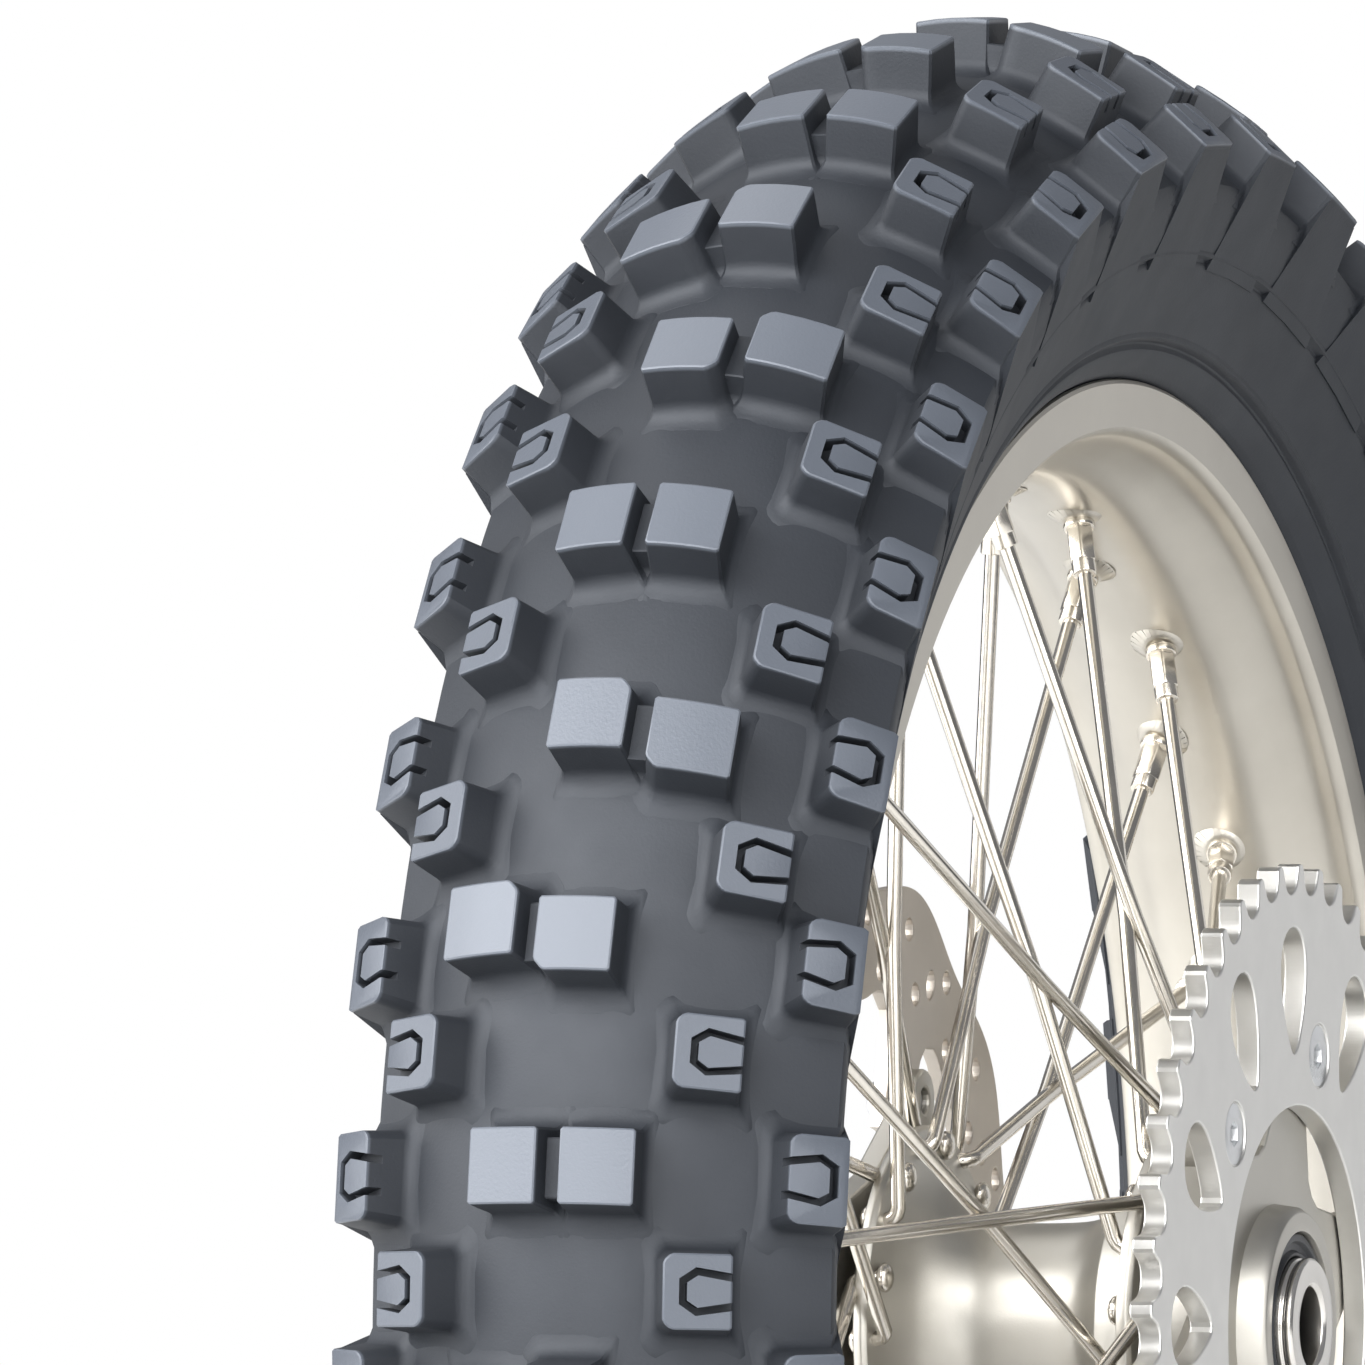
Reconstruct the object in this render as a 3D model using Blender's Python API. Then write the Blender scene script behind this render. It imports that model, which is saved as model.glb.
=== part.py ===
"""Off-road motorcycle rear wheel with its knobbly tire fitted.

Frame: the origin is the wheel's centre, the axle runs along Y, the drive (sprocket)
side is -Y, the brake side is +Y, and Z is up.  Metres throughout.
"""
import bpy
import bmesh
from math import atan2, cos, hypot, pi, radians, sin, tau
from mathutils import Matrix, Vector

# ---------------------------------------------------------------- driving dimensions
GAP = 0.0003              # clearance between pieces that touch
CUT_PAST = 0.0040         # how far a cutter runs past the wall it cuts
RIM_STEPS = 48            # flats round the rim
TUBE_STEPS = 24           # flats round the inner tube
HUB_STEPS = 24            # flats round the hub, bearings and collars

TREAD_PHASE_DEG = 6.4     # where the first row stands, from the front
SPOKE_PHASE_DEG = 4.4     # first drive side nipple
TOOTH_PHASE_DEG = 5.8     # first valley between the teeth

TIRE_RADIUS = 0.330       # over the centre knobs
CROWN_RADIUS = 0.067      # radius of the tread's arc across the tire
KNOB_HEIGHT = 0.0145      # centre knobs, above the casing
ROWS = 36                 # knob rows round the tire
KNOB_FLARE = 0.0012       # how far a knob's foot stands out beyond its top
CENTRE_KNOB = 0.0184      # width of a centre knob
CENTRE_GAP = 0.0063       # slot between the two centre knobs of a pair
CENTRE_SHIFT = 0.0110     # sideways step of the shifted pairs
CENTRE_HALF_DEG = 1.58    # half of a centre knob's length round the tire
STAGGER_DEG = 0.39        # one knob of a shifted pair leads, the other trails
MID_KNOB = 0.0136
MID_OUT = 0.0420          # middle of a mid knob, from the tire's middle
MID_IN = 0.0365           # the same, beside a pair that is shifted away
MID_HALF_DEG = 1.70
SIDE_INNER = 0.0520
SIDE_OUTER = 0.0660
SIDE_HALF_DEG = 2.40
TIE_BAR_DROP = 0.0050     # tie bar between a pair, below the knob tops
SIDEWALL_HALF = 0.0585    # widest point of the casing
TREAD_THICKNESS = 0.0057  # rubber under the knobs
SIDEWALL_THICK = 0.0062
SIDEWALL_LEAN = 0.0055    # how far the wall leans in by the middle of its height
BEAD_COVER = 0.0020       # rubber between a bead's wire and the rim
BEAD_CHAMFER = 0.0010

RIM_HALF = 0.0370         # to the outside of the flange
FLANGE_RADIUS = 0.2385
FLANGE_THICK = 0.0030
FLANGE_SIDE = 0.0125      # height of the flange's flat outer face
SEAT_RADIUS = 0.2285      # bead seat
SEAT_WIDTH = 0.0105
WELL_RADIUS = 0.2165      # outside of the drop centre
RIM_WALL = 0.0038
WELL_HALF = 0.0110
STRIP_THICK = 0.0010
RIM_EDGE = 0.0010         # rounding of the flange's edge
TUBE_WALL = 0.0015
BEAD_WIRE = 0.0055

SPOKES = 36
SPOKE_RADIUS = 0.0020
NIPPLE_RADIUS = 0.0033
NIPPLE_LENGTH = 0.0150
NIPPLE_OFFSET = 0.0050    # nipple line, either side of the rim's middle
CROSS_DEG = 40.0          # a spoke leaves the hub this far round from its nipple
CROSS_SPACE = 0.0024      # between the middles of two spokes laid on each other
SPOKE_SPACE = 0.0019      # between a spoke and the flange it leaves
SPOKE_DISH = 0.64         # share of the flange's dish at the spoke circle

HUB_TUBE = 0.0260
HUB_WALL = 0.0065         # round a bearing's seat
SPOKE_FLANGE = 0.0500
SPOKE_CIRCLE = 0.0450
SPOKE_FLANGE_THICK = 0.0030
FLANGE_WIDTH = 0.0140     # from a spoke flange's root to its edge
DRIVE_FLANGE_Y = -0.0565
BRAKE_FLANGE_Y = 0.0185
FLANGE_DISH = 0.0050
AXLE_RADIUS = 0.0100
BEARING_OUTER = 0.0235
BEARING_WIDTH = 0.0140
DRIVE_BEARING_Y = -0.0705
BRAKE_BEARING_Y = 0.0285
RACE_WALL = 0.0036
BALLS = 8
SEAL_WIDTH = 0.0050
COLLAR_RADIUS = 0.0172
DRIVE_FACE_Y = -0.0870    # outer faces of the two collars
BRAKE_FACE_Y = 0.0645

TEETH = 45
CHAIN_PITCH = 0.015875
ROLLER_RADIUS = 0.00508
TOOTH_HEIGHT = 0.0075
SPROCKET_FACE_Y = -0.0830
SPROCKET_THICK = 0.0060
SPROCKET_BORE = 0.0555
SPROCKET_CIRCLE = 0.0700
SPROCKET_BOLTS = 6
SPROCKET_BOLT_DEG = 43.0
BOLT_RADIUS = 0.0040
BOLT_HEAD = 0.0078
NUT_HALF = 0.0063         # half the nut's width across its flats
NUT_THICK = 0.0062
BOLT_PAST_NUT = 0.0018
SOCKET_RADIUS = 0.0028
SOCKET_DEPTH = 0.0030
WINDOW_TURN_DEG = 17.0    # each window stands this far from a bolt
WINDOW_WALL = 0.0081      # between a window and the roots of the teeth
CARRIER_THICK = 0.0070

DISC_RADIUS = 0.1120
DISC_WAVE = 0.0026
DISC_LOBES = 10
DISC_BAND_INNER = DISC_RADIUS - 0.0290
DISC_INNER = 0.0500
DISC_THICK = 0.0040
DISC_Y = 0.0325           # middle of the brake disc
DISC_CIRCLE = 0.0600
DISC_BOLTS = 4
DISC_BOLT_DEG = 20.0
DISC_BOLT_RADIUS = 0.0030
BUTTON_RADIUS = 0.0060
BUTTON_HEIGHT = 0.0032
PAD_THICK = 0.0065        # hub pads that the disc is bolted onto
VENTS = 24                # holes drilled in the band
VENT_RADIUS = 0.0034
VENT_SHARES = (0.24, 0.48, 0.72)  # where they lie, across the band

VALVE_DEG = SPOKE_PHASE_DEG + 205.0  # midway between two nipples
STEM_RADIUS = 0.0041
STEM_FOOT = 0.0058        # flange of the stem inside the tube
STEM_TIP = WELL_RADIUS - 0.0365
STEM_BORE = 0.0020
CORE_RADIUS = 0.0012
CAP_LENGTH = 0.0100
CAP_WALL = 0.0010
LOCK_DEG = SPOKE_PHASE_DEG + 255.0
LOCK_HALF_DEG = 8.0
LOCK_HALF = 0.0090
LOCK_HEIGHT = 0.0060
LOCK_SPACE = 0.0030       # between the shoe and the tube where it rides over it
LOCK_RAMP_DEG = 6.0
STUD_RADIUS = 0.0040
STUD_TIP = WELL_RADIUS - 0.0325
LOCK_NUT = 0.0070
LOCK_NUT_HEIGHT = 0.0070

ROW_SHIFT = [0, 1, -1, 0, -1, 1]          # sideways step of each row in a set of six
ROW_LEAD = [0, 1, 1, 0, -1, -1]           # which knob of the pair leads
ROW_PULL_DEG = [0.0, 0.35, -0.40, 0.0, 0.35, -0.40]


# ---------------------------------------------------------------- small helpers
def clear_scene():
    for obj in list(bpy.data.objects):
        bpy.data.objects.remove(obj, do_unlink=True)


def material(name, colour, roughness, metallic):
    found = bpy.data.materials.get(name)
    if found:
        return found
    mat = bpy.data.materials.new(name)
    mat.use_nodes = True
    shader = mat.node_tree.nodes["Principled BSDF"]
    shader.inputs["Base Color"].default_value = (*colour, 1.0)
    shader.inputs["Roughness"].default_value = roughness
    shader.inputs["Metallic"].default_value = metallic
    return mat


def tire_rubber():
    return material("tire_rubber", (0.035, 0.038, 0.044), 0.55, 0.0)


def soft_rubber():
    return material("soft_rubber", (0.012, 0.012, 0.013), 0.70, 0.0)


def satin_aluminium():
    return material("satin_aluminium", (0.62, 0.60, 0.57), 0.32, 1.0)


def machined_aluminium():
    return material("machined_aluminium", (0.70, 0.69, 0.67), 0.28, 1.0)


def polished_steel():
    return material("polished_steel", (0.55, 0.53, 0.50), 0.18, 1.0)


def ground_steel():
    return material("ground_steel", (0.42, 0.39, 0.36), 0.35, 1.0)


def bead_steel():
    return material("bead_steel", (0.45, 0.36, 0.24), 0.40, 1.0)


def polar(radius, angle, y):
    """A point at this radius; angle 0 is the front (-X) and 90 degrees is the top."""
    return Vector((-radius * cos(angle), y, radius * sin(angle)))


def finish(name, bm, mat, recalc=True):
    """Turn a bmesh into a named object with one material."""
    if recalc:
        bmesh.ops.recalc_face_normals(bm, faces=bm.faces)
    mesh = bpy.data.meshes.new(name)
    bm.to_mesh(mesh)
    bm.free()
    mesh.shade_smooth()
    mesh.set_sharp_from_angle(angle=radians(30.0))
    obj = bpy.data.objects.new(name, mesh)
    bpy.context.collection.objects.link(obj)
    mesh.materials.append(mat)
    return obj


def spin_outline(bm, outline, steps, phase):
    """Turn a closed (y, radius) outline round the axle."""
    verts = [bm.verts.new(polar(r, phase, y)) for y, r in outline]
    edges = [bm.edges.new((a, b)) for a, b in zip(verts, verts[1:] + verts[:1])]
    bmesh.ops.spin(bm, geom=verts + edges, cent=(0, 0, 0), axis=(0, 1, 0), dvec=(0, 0, 0),
                   angle=tau, steps=steps, use_merge=True, use_duplicate=False)


def turned(name, outline, steps, mat, phase=0.0):
    bm = bmesh.new()
    spin_outline(bm, outline, steps, phase)
    return finish(name, bm, mat)


def mirrored(half):
    """Close a half outline that ends on the middle, or is cut there, with its mirror image."""
    other = [(-y, r) for y, r in reversed(half) if abs(y) > 1e-9]
    return half + other


def around(count, radius):
    """Corner radius of a ring of this many flats, whose flats lie at this radius."""
    return radius / cos(pi / count)


def extrude_outlines(outer, holes, y0, y1):
    """A plate between y0 and y1 with (radius, angle) outlines; holes are cut through it."""
    bm = bmesh.new()
    edges = []
    for outline in [outer] + holes:
        verts = [bm.verts.new(polar(r, a, y0)) for r, a in outline]
        edges += [bm.edges.new((a, b)) for a, b in zip(verts, verts[1:] + verts[:1])]
    filled = bmesh.ops.triangle_fill(bm, edges=edges, use_beauty=True, use_dissolve=False)
    faces = [f for f in filled["geom"] if isinstance(f, bmesh.types.BMFace)]
    pushed = bmesh.ops.extrude_face_region(bm, geom=faces, use_keep_orig=True)
    moved = [v for v in pushed["geom"] if isinstance(v, bmesh.types.BMVert)]
    bmesh.ops.translate(bm, verts=moved, vec=(0, y1 - y0, 0))
    return bm


def ring_at(radius, angle, size, sides, turn=0.0):
    """A small round outline, as (radius, angle) points, about a point on a plate."""
    cx = radius * cos(angle)
    cz = radius * sin(angle)
    points = []
    for i in range(sides):
        a = turn + tau * i / sides
        x = cx + size * cos(a)
        z = cz + size * sin(a)
        points.append((hypot(x, z), atan2(z, x)))
    return points


def prism(bm, start, end, radius, sides, end_radius=None):
    """A straight bar or cone between two points."""
    axis = end - start
    made = bmesh.ops.create_cone(bm, cap_ends=True, cap_tris=False, segments=sides, radius1=radius,
                                 radius2=radius if end_radius is None else end_radius,
                                 depth=axis.length)
    turn = Vector((0, 0, 1)).rotation_difference(axis.normalized()).to_matrix().to_4x4()
    place = Matrix.Translation((start + end) / 2) @ turn
    bmesh.ops.transform(bm, matrix=place, verts=made["verts"])
    return made["verts"]


def cut(obj, cutter, operation="DIFFERENCE"):
    """Apply a Boolean with a cutter object that the build leaves out."""
    cutter.hide_render = True
    cutter.display_type = "WIRE"
    mod = obj.modifiers.new(cutter.name, "BOOLEAN")
    mod.operation = operation
    mod.solver = "EXACT"
    mod.object = cutter


def radial_profile(name, stations, angle, y, sides, mat, shift=0.0):
    """A piece turned about a spoke-wise line: stations are (distance from the axle, size)."""
    bm = bmesh.new()
    axis = polar(1.0, angle, 0.0)
    side = Vector((0, 1, 0))
    across = axis.cross(side)
    rings = []
    for dist, size in stations:
        centre = axis * dist + Vector((0, y, 0))
        ring = []
        for i in range(sides):
            a = shift + tau * i / sides
            ring.append(bm.verts.new(centre + (side * cos(a) + across * sin(a)) * size))
        rings.append(ring)
    for low, high in zip(rings, rings[1:] + rings[:1]):
        for i in range(sides):
            j = (i + 1) % sides
            bm.faces.new((low[i], low[j], high[j], high[i]))
    return finish(name, bm, mat)


# ---------------------------------------------------------------- tire
def crown_point(u, depth=0.0):
    """(y, radius) on the tread's arc at sideways position u, sunk by depth along its normal."""
    slope = u / CROWN_RADIUS
    length = hypot(slope, 1.0)
    radius = TIRE_RADIUS - u * u / (2 * CROWN_RADIUS)
    return (u - depth * slope / length, radius - depth / length)


def knob_depth(u):
    """Knobs are a little lower towards the shoulders."""
    return KNOB_HEIGHT * (1.0 - 0.17 * (u / SIDE_OUTER) ** 2)


def step_angle(row):
    """Rows evenly spaced round the tire; whole numbers are rows, halves lie between them."""
    return radians(TREAD_PHASE_DEG + 360.0 / ROWS * row)


def row_angle(row):
    return step_angle(row) + radians(ROW_PULL_DEG[row % len(ROW_PULL_DEG)])


def mid_position(row, side):
    """Middle of the mid knob that follows this row, on the left (+1) or right (-1)."""
    here = ROW_SHIFT[row % len(ROW_SHIFT)] * side
    ahead = ROW_SHIFT[(row + 1) % len(ROW_SHIFT)] * side
    return MID_OUT if here > 0 or ahead > 0 else MID_IN


def tread_line(row, upper):
    """Column edges (u, angle) along the lower or upper edge of one row of knobs."""
    sign = 1 if upper else -1
    gap_row = row if upper else row - 1
    gap_centre = (row_angle(gap_row) + row_angle(gap_row + 1)) / 2
    mid_angle = gap_centre - sign * radians(MID_HALF_DEG)
    side_angle = step_angle(row) + sign * radians(SIDE_HALF_DEG)
    shift = ROW_SHIFT[row % len(ROW_SHIFT)] * CENTRE_SHIFT
    lead = ROW_LEAD[row % len(ROW_LEAD)] * radians(STAGGER_DEG)
    edge = row_angle(row) + sign * radians(CENTRE_HALF_DEG)
    near = CENTRE_GAP / 2
    far = near + CENTRE_KNOB
    left = mid_position(gap_row, 1)
    right = -mid_position(gap_row, -1)
    half = MID_KNOB / 2
    return [
        (SIDE_OUTER, side_angle), (SIDE_INNER, side_angle),
        (left + half, mid_angle), (left - half, mid_angle),
        (shift + far, edge + lead), (shift + near, edge + lead),
        (shift - near, edge - lead), (shift - far, edge - lead),
        (right + half, mid_angle), (right - half, mid_angle),
        (-SIDE_INNER, side_angle), (-SIDE_OUTER, side_angle),
    ]


def up_the_section(share):
    """Radius at this share of the way from the rim's flange to the top of the tread."""
    return FLANGE_RADIUS + (TIRE_RADIUS - FLANGE_RADIUS) * share


def up_the_inside(share):
    """Radius at this share of the way from the rim's flange to the inside of the crown."""
    return FLANGE_RADIUS + (casing_crown() - FLANGE_RADIUS) * share


def bead_places():
    """Side of the bead, its toe, the radius it sits at and the floor of its wire's groove."""
    outside = RIM_HALF - FLANGE_THICK - GAP
    seat = around(ROWS, SEAT_RADIUS + GAP)
    return outside, outside - SEAT_WIDTH, seat, seat + BEAD_COVER


def tube_side():
    """Inside of the casing where it is widest."""
    return SIDEWALL_HALF - SIDEWALL_THICK - SIDEWALL_LEAN


def casing_crown():
    return TIRE_RADIUS - KNOB_HEIGHT - TREAD_THICKNESS


def casing_outline():
    """Half outline below the tread: sidewall, bead, then the inside up to the crown."""
    outside, toe, seat, groove = bead_places()
    over_flange = around(ROWS, FLANGE_RADIUS + 2 * GAP)
    groove_top = groove + BEAD_WIRE + 2 * GAP
    groove_back = toe + BEAD_WIRE + 2 * GAP
    wide = SIDEWALL_HALF
    inner = tube_side()
    crown = casing_crown()
    sidewall = [(wide - 0.0030, up_the_section(0.42)), (wide - 0.0062, up_the_section(0.33)),
                (wide - 0.0107, up_the_section(0.22)), (wide - 0.0160, up_the_section(0.11)),
                (RIM_HALF + 2 * GAP, over_flange + 2 * GAP)]
    bead = [(outside, over_flange), (outside, seat + BEAD_CHAMFER), (outside - BEAD_CHAMFER, seat),
            (toe, seat), (toe, groove), (groove_back, groove), (groove_back, groove_top),
            (toe + BEAD_CHAMFER, groove_top)]
    inside = [(inner - 0.0160, up_the_inside(0.12)), (inner - 0.0080, up_the_inside(0.24)),
              (inner, up_the_inside(0.44)), (inner - 0.0025, up_the_inside(0.65)),
              (inner - 0.0158, up_the_inside(0.82)), (inner - 0.0348, up_the_inside(0.955))]
    return sidewall + bead + inside, crown


def build_tire():
    """Tread, sidewalls and beads are one moulding; every knob is pushed out of its surface."""
    bm = bmesh.new()
    lines = [tread_line(row, upper) for row in range(ROWS) for upper in (False, True)]
    feet = []
    for k, line in enumerate(lines):
        feet.append([bm.verts.new(foot_point(i, u, angle, k % 2 == 1))
                     for i, (u, angle) in enumerate(line)])
    for k, low in enumerate(feet):
        high = feet[(k + 1) % len(feet)]
        knob_columns = (0, 4, 6, 10) if k % 2 == 0 else (2, 8)
        for i in range(len(low) - 1):
            ring = (low[i], low[i + 1], high[i + 1], high[i])
            if i in knob_columns:
                push_up(bm, ring, knob_top(lines[k], lines[(k + 1) % len(lines)], i))
            elif i == 5 and k % 2 == 0:
                push_up(bm, ring, tie_bar_top(lines[k], lines[k + 1]))
            else:
                bm.faces.new(ring)
    close_casing(bm, feet)
    return finish("tire", bm, tire_rubber())


def close_casing(bm, feet):
    """Sidewalls, beads and inside: one ring of points for each row, joined to the tread's edges."""
    below, crown = casing_outline()
    rings = []
    for row in range(ROWS):
        angle = step_angle(row - 0.25)
        ring = [polar(r, angle, -y) for y, r in below] + [polar(crown, angle, 0.0)]
        ring += [polar(r, angle, y) for y, r in reversed(below)]
        rings.append([bm.verts.new(p) for p in ring])
    for row, low in enumerate(rings):
        high = rings[(row + 1) % ROWS]
        for i in range(len(low) - 1):
            bm.faces.new((low[i], low[i + 1], high[i + 1], high[i]))
        a, b, c = (feet[(2 * row + n) % len(feet)] for n in range(3))
        for edge, end in ((-1, 0), (0, -1)):
            bm.faces.new((a[edge], low[end], b[edge]))
            bm.faces.new((b[edge], low[end], high[end]))
            bm.faces.new((b[edge], high[end], c[edge]))


def foot_point(i, u, angle, upper):
    """Corner of a knob's foot, which stands out past the knob's top on every side."""
    foot = u + (KNOB_FLARE if i % 2 == 0 else -KNOB_FLARE)
    y, r = crown_point(foot, knob_depth(foot))
    upper_side = upper if i not in (2, 3, 8, 9) else not upper
    return polar(r, angle + (1 if upper_side else -1) * KNOB_FLARE / r, y)


def knob_top(low_line, high_line, i):
    corners = [low_line[i], low_line[i + 1], high_line[i + 1], high_line[i]]
    return [polar(crown_point(u)[1], angle, u) for u, angle in corners]


def tie_bar_top(low_line, high_line):
    """The low bar between a pair keeps clear of the knobs' leaning walls."""
    low = (low_line[5][1] + low_line[6][1]) / 2 + radians(0.3)
    high = (high_line[5][1] + high_line[6][1]) / 2 - radians(0.3)
    left = low_line[5][0] - KNOB_FLARE - GAP
    right = low_line[6][0] + KNOB_FLARE + GAP
    corners = [(left, low), (right, low), (right, high), (left, high)]
    return [polar(crown_point(u, TIE_BAR_DROP)[1], angle, u) for u, angle in corners]


def push_up(bm, ring, tops):
    """Raise a face's outline to new corners: four walls and a top."""
    raised = [bm.verts.new(p) for p in tops]
    for a in range(4):
        b = (a + 1) % 4
        bm.faces.new((ring[a], ring[b], raised[b], raised[a]))
    bm.faces.new(raised)


def build_bead_wires():
    """A steel hoop in each bead, lying in a groove of the rubber."""
    _, toe, _, groove = bead_places()
    low = groove + GAP
    high = low + BEAD_WIRE
    y0 = toe + GAP
    y1 = y0 + BEAD_WIRE
    for name, side in (("bead_wire_drive", -1), ("bead_wire_brake", 1)):
        outline = [(side * y0, low), (side * y1, low), (side * y1, high), (side * y0, high)]
        turned(name, outline, ROWS, bead_steel(), step_angle(-0.25))


def tube_floor():
    """Where the inner tube lies on the rim strip."""
    return around(TUBE_STEPS, around(RIM_STEPS, WELL_RADIUS + STRIP_THICK + 2 * GAP))


def tube_outline(angle):
    """Half outline of the inner tube, lifted where the rim lock's shoe lies under it."""
    off = abs((angle - radians(LOCK_DEG) + pi) % tau - pi)
    lift = LOCK_HEIGHT + LOCK_SPACE if off < radians(LOCK_HALF_DEG + LOCK_RAMP_DEG) else 0.0
    flats = cos(pi / ROWS)
    inner = tube_side()
    toe = bead_places()[1]
    return [(0.0, casing_crown() * flats - 2 * GAP), (inner - 0.0278, up_the_inside(0.89) * flats),
            (inner - 0.0068, up_the_inside(0.68) * flats), (inner - 0.0023, up_the_inside(0.49) * flats),
            (inner - 0.0118, up_the_inside(0.335) * flats), (toe - 0.0040, up_the_inside(0.077)),
            (toe - 0.0030, SEAT_RADIUS + 0.0015), (0.0070, tube_floor() + lift)]


def inset(outline, depth):
    """Move each corner of a closed outline inwards along its mean normal."""
    moved = []
    for i, (y, r) in enumerate(outline):
        before = Vector(outline[i - 1])
        after = Vector(outline[(i + 1) % len(outline)])
        here = Vector((y, r))
        a = (here - before).normalized()
        b = (after - here).normalized()
        normal = Vector((a.y + b.y, -a.x - b.x)).normalized()
        moved.append(tuple(here + normal * depth))
    return moved


def build_inner_tube():
    """A hollow ring, open only where the valve stem passes through its wall."""
    bm = bmesh.new()
    for depth in (0.0, TUBE_WALL):
        rings = []
        for k in range(TUBE_STEPS):
            angle = tau * k / TUBE_STEPS
            outline = mirrored(tube_outline(angle))
            if depth:
                outline = inset(outline, depth)
            rings.append([bm.verts.new(polar(r, angle, y)) for y, r in outline])
        for k, low in enumerate(rings):
            high = rings[(k + 1) % TUBE_STEPS]
            for i in range(len(low)):
                j = (i + 1) % len(low)
                quad = (low[i], low[j], high[j], high[i])
                bm.faces.new(quad if depth == 0.0 else quad[::-1])
    tube = finish("inner_tube", bm, soft_rubber(), recalc=False)
    floor = tube_floor()
    cut(tube, wall_cutter("tube_valve_hole", VALVE_DEG, STEM_RADIUS, floor, floor + TUBE_WALL))


# ---------------------------------------------------------------- rim
def spoke_rod(name, start, end, radius, sides):
    bm = bmesh.new()
    prism(bm, start, end, radius, sides)
    return finish(name, bm, polished_steel())


def wall_cutter(name, degrees, pin, low, high):
    """Cutter for a pin's hole through a wall that lies between two radii."""
    angle = radians(degrees)
    return spoke_rod(name, polar(low - CUT_PAST, angle, 0), polar(high + CUT_PAST, angle, 0),
                     pin + 2 * GAP, 12)


def build_rim():
    inner_flange = RIM_HALF - FLANGE_THICK
    seat_end = inner_flange - SEAT_WIDTH
    face = FLANGE_RADIUS - FLANGE_SIDE
    bed = WELL_RADIUS - RIM_WALL + 0.0005
    outline = mirrored([
        (WELL_HALF + 0.0005, WELL_RADIUS), (seat_end, SEAT_RADIUS), (inner_flange, SEAT_RADIUS),
        (inner_flange, FLANGE_RADIUS - RIM_EDGE), (RIM_HALF - FLANGE_THICK / 2, FLANGE_RADIUS),
        (RIM_HALF, FLANGE_RADIUS - RIM_EDGE), (RIM_HALF, face), (RIM_HALF - 0.0035, face - 0.0017),
        (seat_end + 0.0040, face - 0.0025), (WELL_HALF + 0.0010, bed)])
    rim = turned("rim", outline, RIM_STEPS, satin_aluminium())
    inside = WELL_RADIUS - RIM_WALL
    cut(rim, wall_cutter("rim_valve_hole", VALVE_DEG, STEM_RADIUS, inside, WELL_RADIUS))
    cut(rim, wall_cutter("rim_lock_hole", LOCK_DEG, STUD_RADIUS, inside, WELL_RADIUS))
    low = WELL_RADIUS + GAP
    half = WELL_HALF - 0.0015
    band = [(half, low), (half, low + STRIP_THICK), (-half, low + STRIP_THICK), (-half, low)]
    strip = turned("rim_strip", band, RIM_STEPS, soft_rubber())
    cut(strip, wall_cutter("strip_valve_hole", VALVE_DEG, STEM_RADIUS, low, low + STRIP_THICK))
    cut(strip, wall_cutter("strip_lock_hole", LOCK_DEG, STUD_RADIUS, low, low + STRIP_THICK))


# ---------------------------------------------------------------- valve and rim lock
def build_valve():
    angle = radians(VALVE_DEG)
    base = tube_floor() + TUBE_WALL + 2 * GAP
    stations = [(STEM_TIP, STEM_RADIUS), (base, STEM_RADIUS), (base, STEM_FOOT),
                (base + 0.0016, STEM_FOOT), (base + 0.0016, STEM_BORE),
                (STEM_TIP, STEM_BORE)]
    radial_profile("valve_stem", stations, angle, 0.0, 12, machined_brass())
    core = spoke_rod("valve_core", polar(STEM_TIP + 0.0012, angle, 0), polar(base - 0.006, angle, 0),
                     CORE_RADIUS, 8)
    core.data.materials[0] = machined_brass()
    inside = STEM_RADIUS + GAP
    bm = bmesh.new()
    prism(bm, polar(STEM_TIP - CAP_WALL - GAP, angle, 0), polar(STEM_TIP + CAP_LENGTH, angle, 0),
          inside + CAP_WALL, 12)
    cap = finish("valve_cap", bm, soft_rubber())
    hollow = spoke_rod("cap_hollow", polar(STEM_TIP - GAP, angle, 0),
                       polar(STEM_TIP + CAP_LENGTH + 0.002, angle, 0), inside, 12)
    cut(cap, hollow)


def machined_brass():
    return material("machined_brass", (0.62, 0.46, 0.22), 0.30, 1.0)


def build_rim_lock():
    """A shoe under the inner tube, with a stud out through the rim and a nut on it."""
    angle = radians(LOCK_DEG)
    low = WELL_RADIUS + STRIP_THICK + 3 * GAP
    spread = radians(LOCK_HALF_DEG)
    arc = [angle - spread + 2 * spread * i / 4 for i in range(5)]
    outline = [(low, a) for a in arc] + [(low + LOCK_HEIGHT, a) for a in reversed(arc)]
    shoe = finish("rim_lock", extrude_outlines(outline, [], -LOCK_HALF, LOCK_HALF), soft_rubber())
    stud = spoke_rod("lock_stud", polar(STUD_TIP, angle, 0), polar(low + 0.003, angle, 0),
                     STUD_RADIUS, 12)
    cut(shoe, stud, "UNION")
    top = WELL_RADIUS - RIM_WALL - 2 * GAP
    clear = around(6, STUD_RADIUS + GAP)
    stations = [(top - LOCK_NUT_HEIGHT, LOCK_NUT), (top, LOCK_NUT), (top, clear),
                (top - LOCK_NUT_HEIGHT, clear)]
    radial_profile("rim_lock_nut", stations, angle, 0.0, 6, polished_steel())


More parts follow.
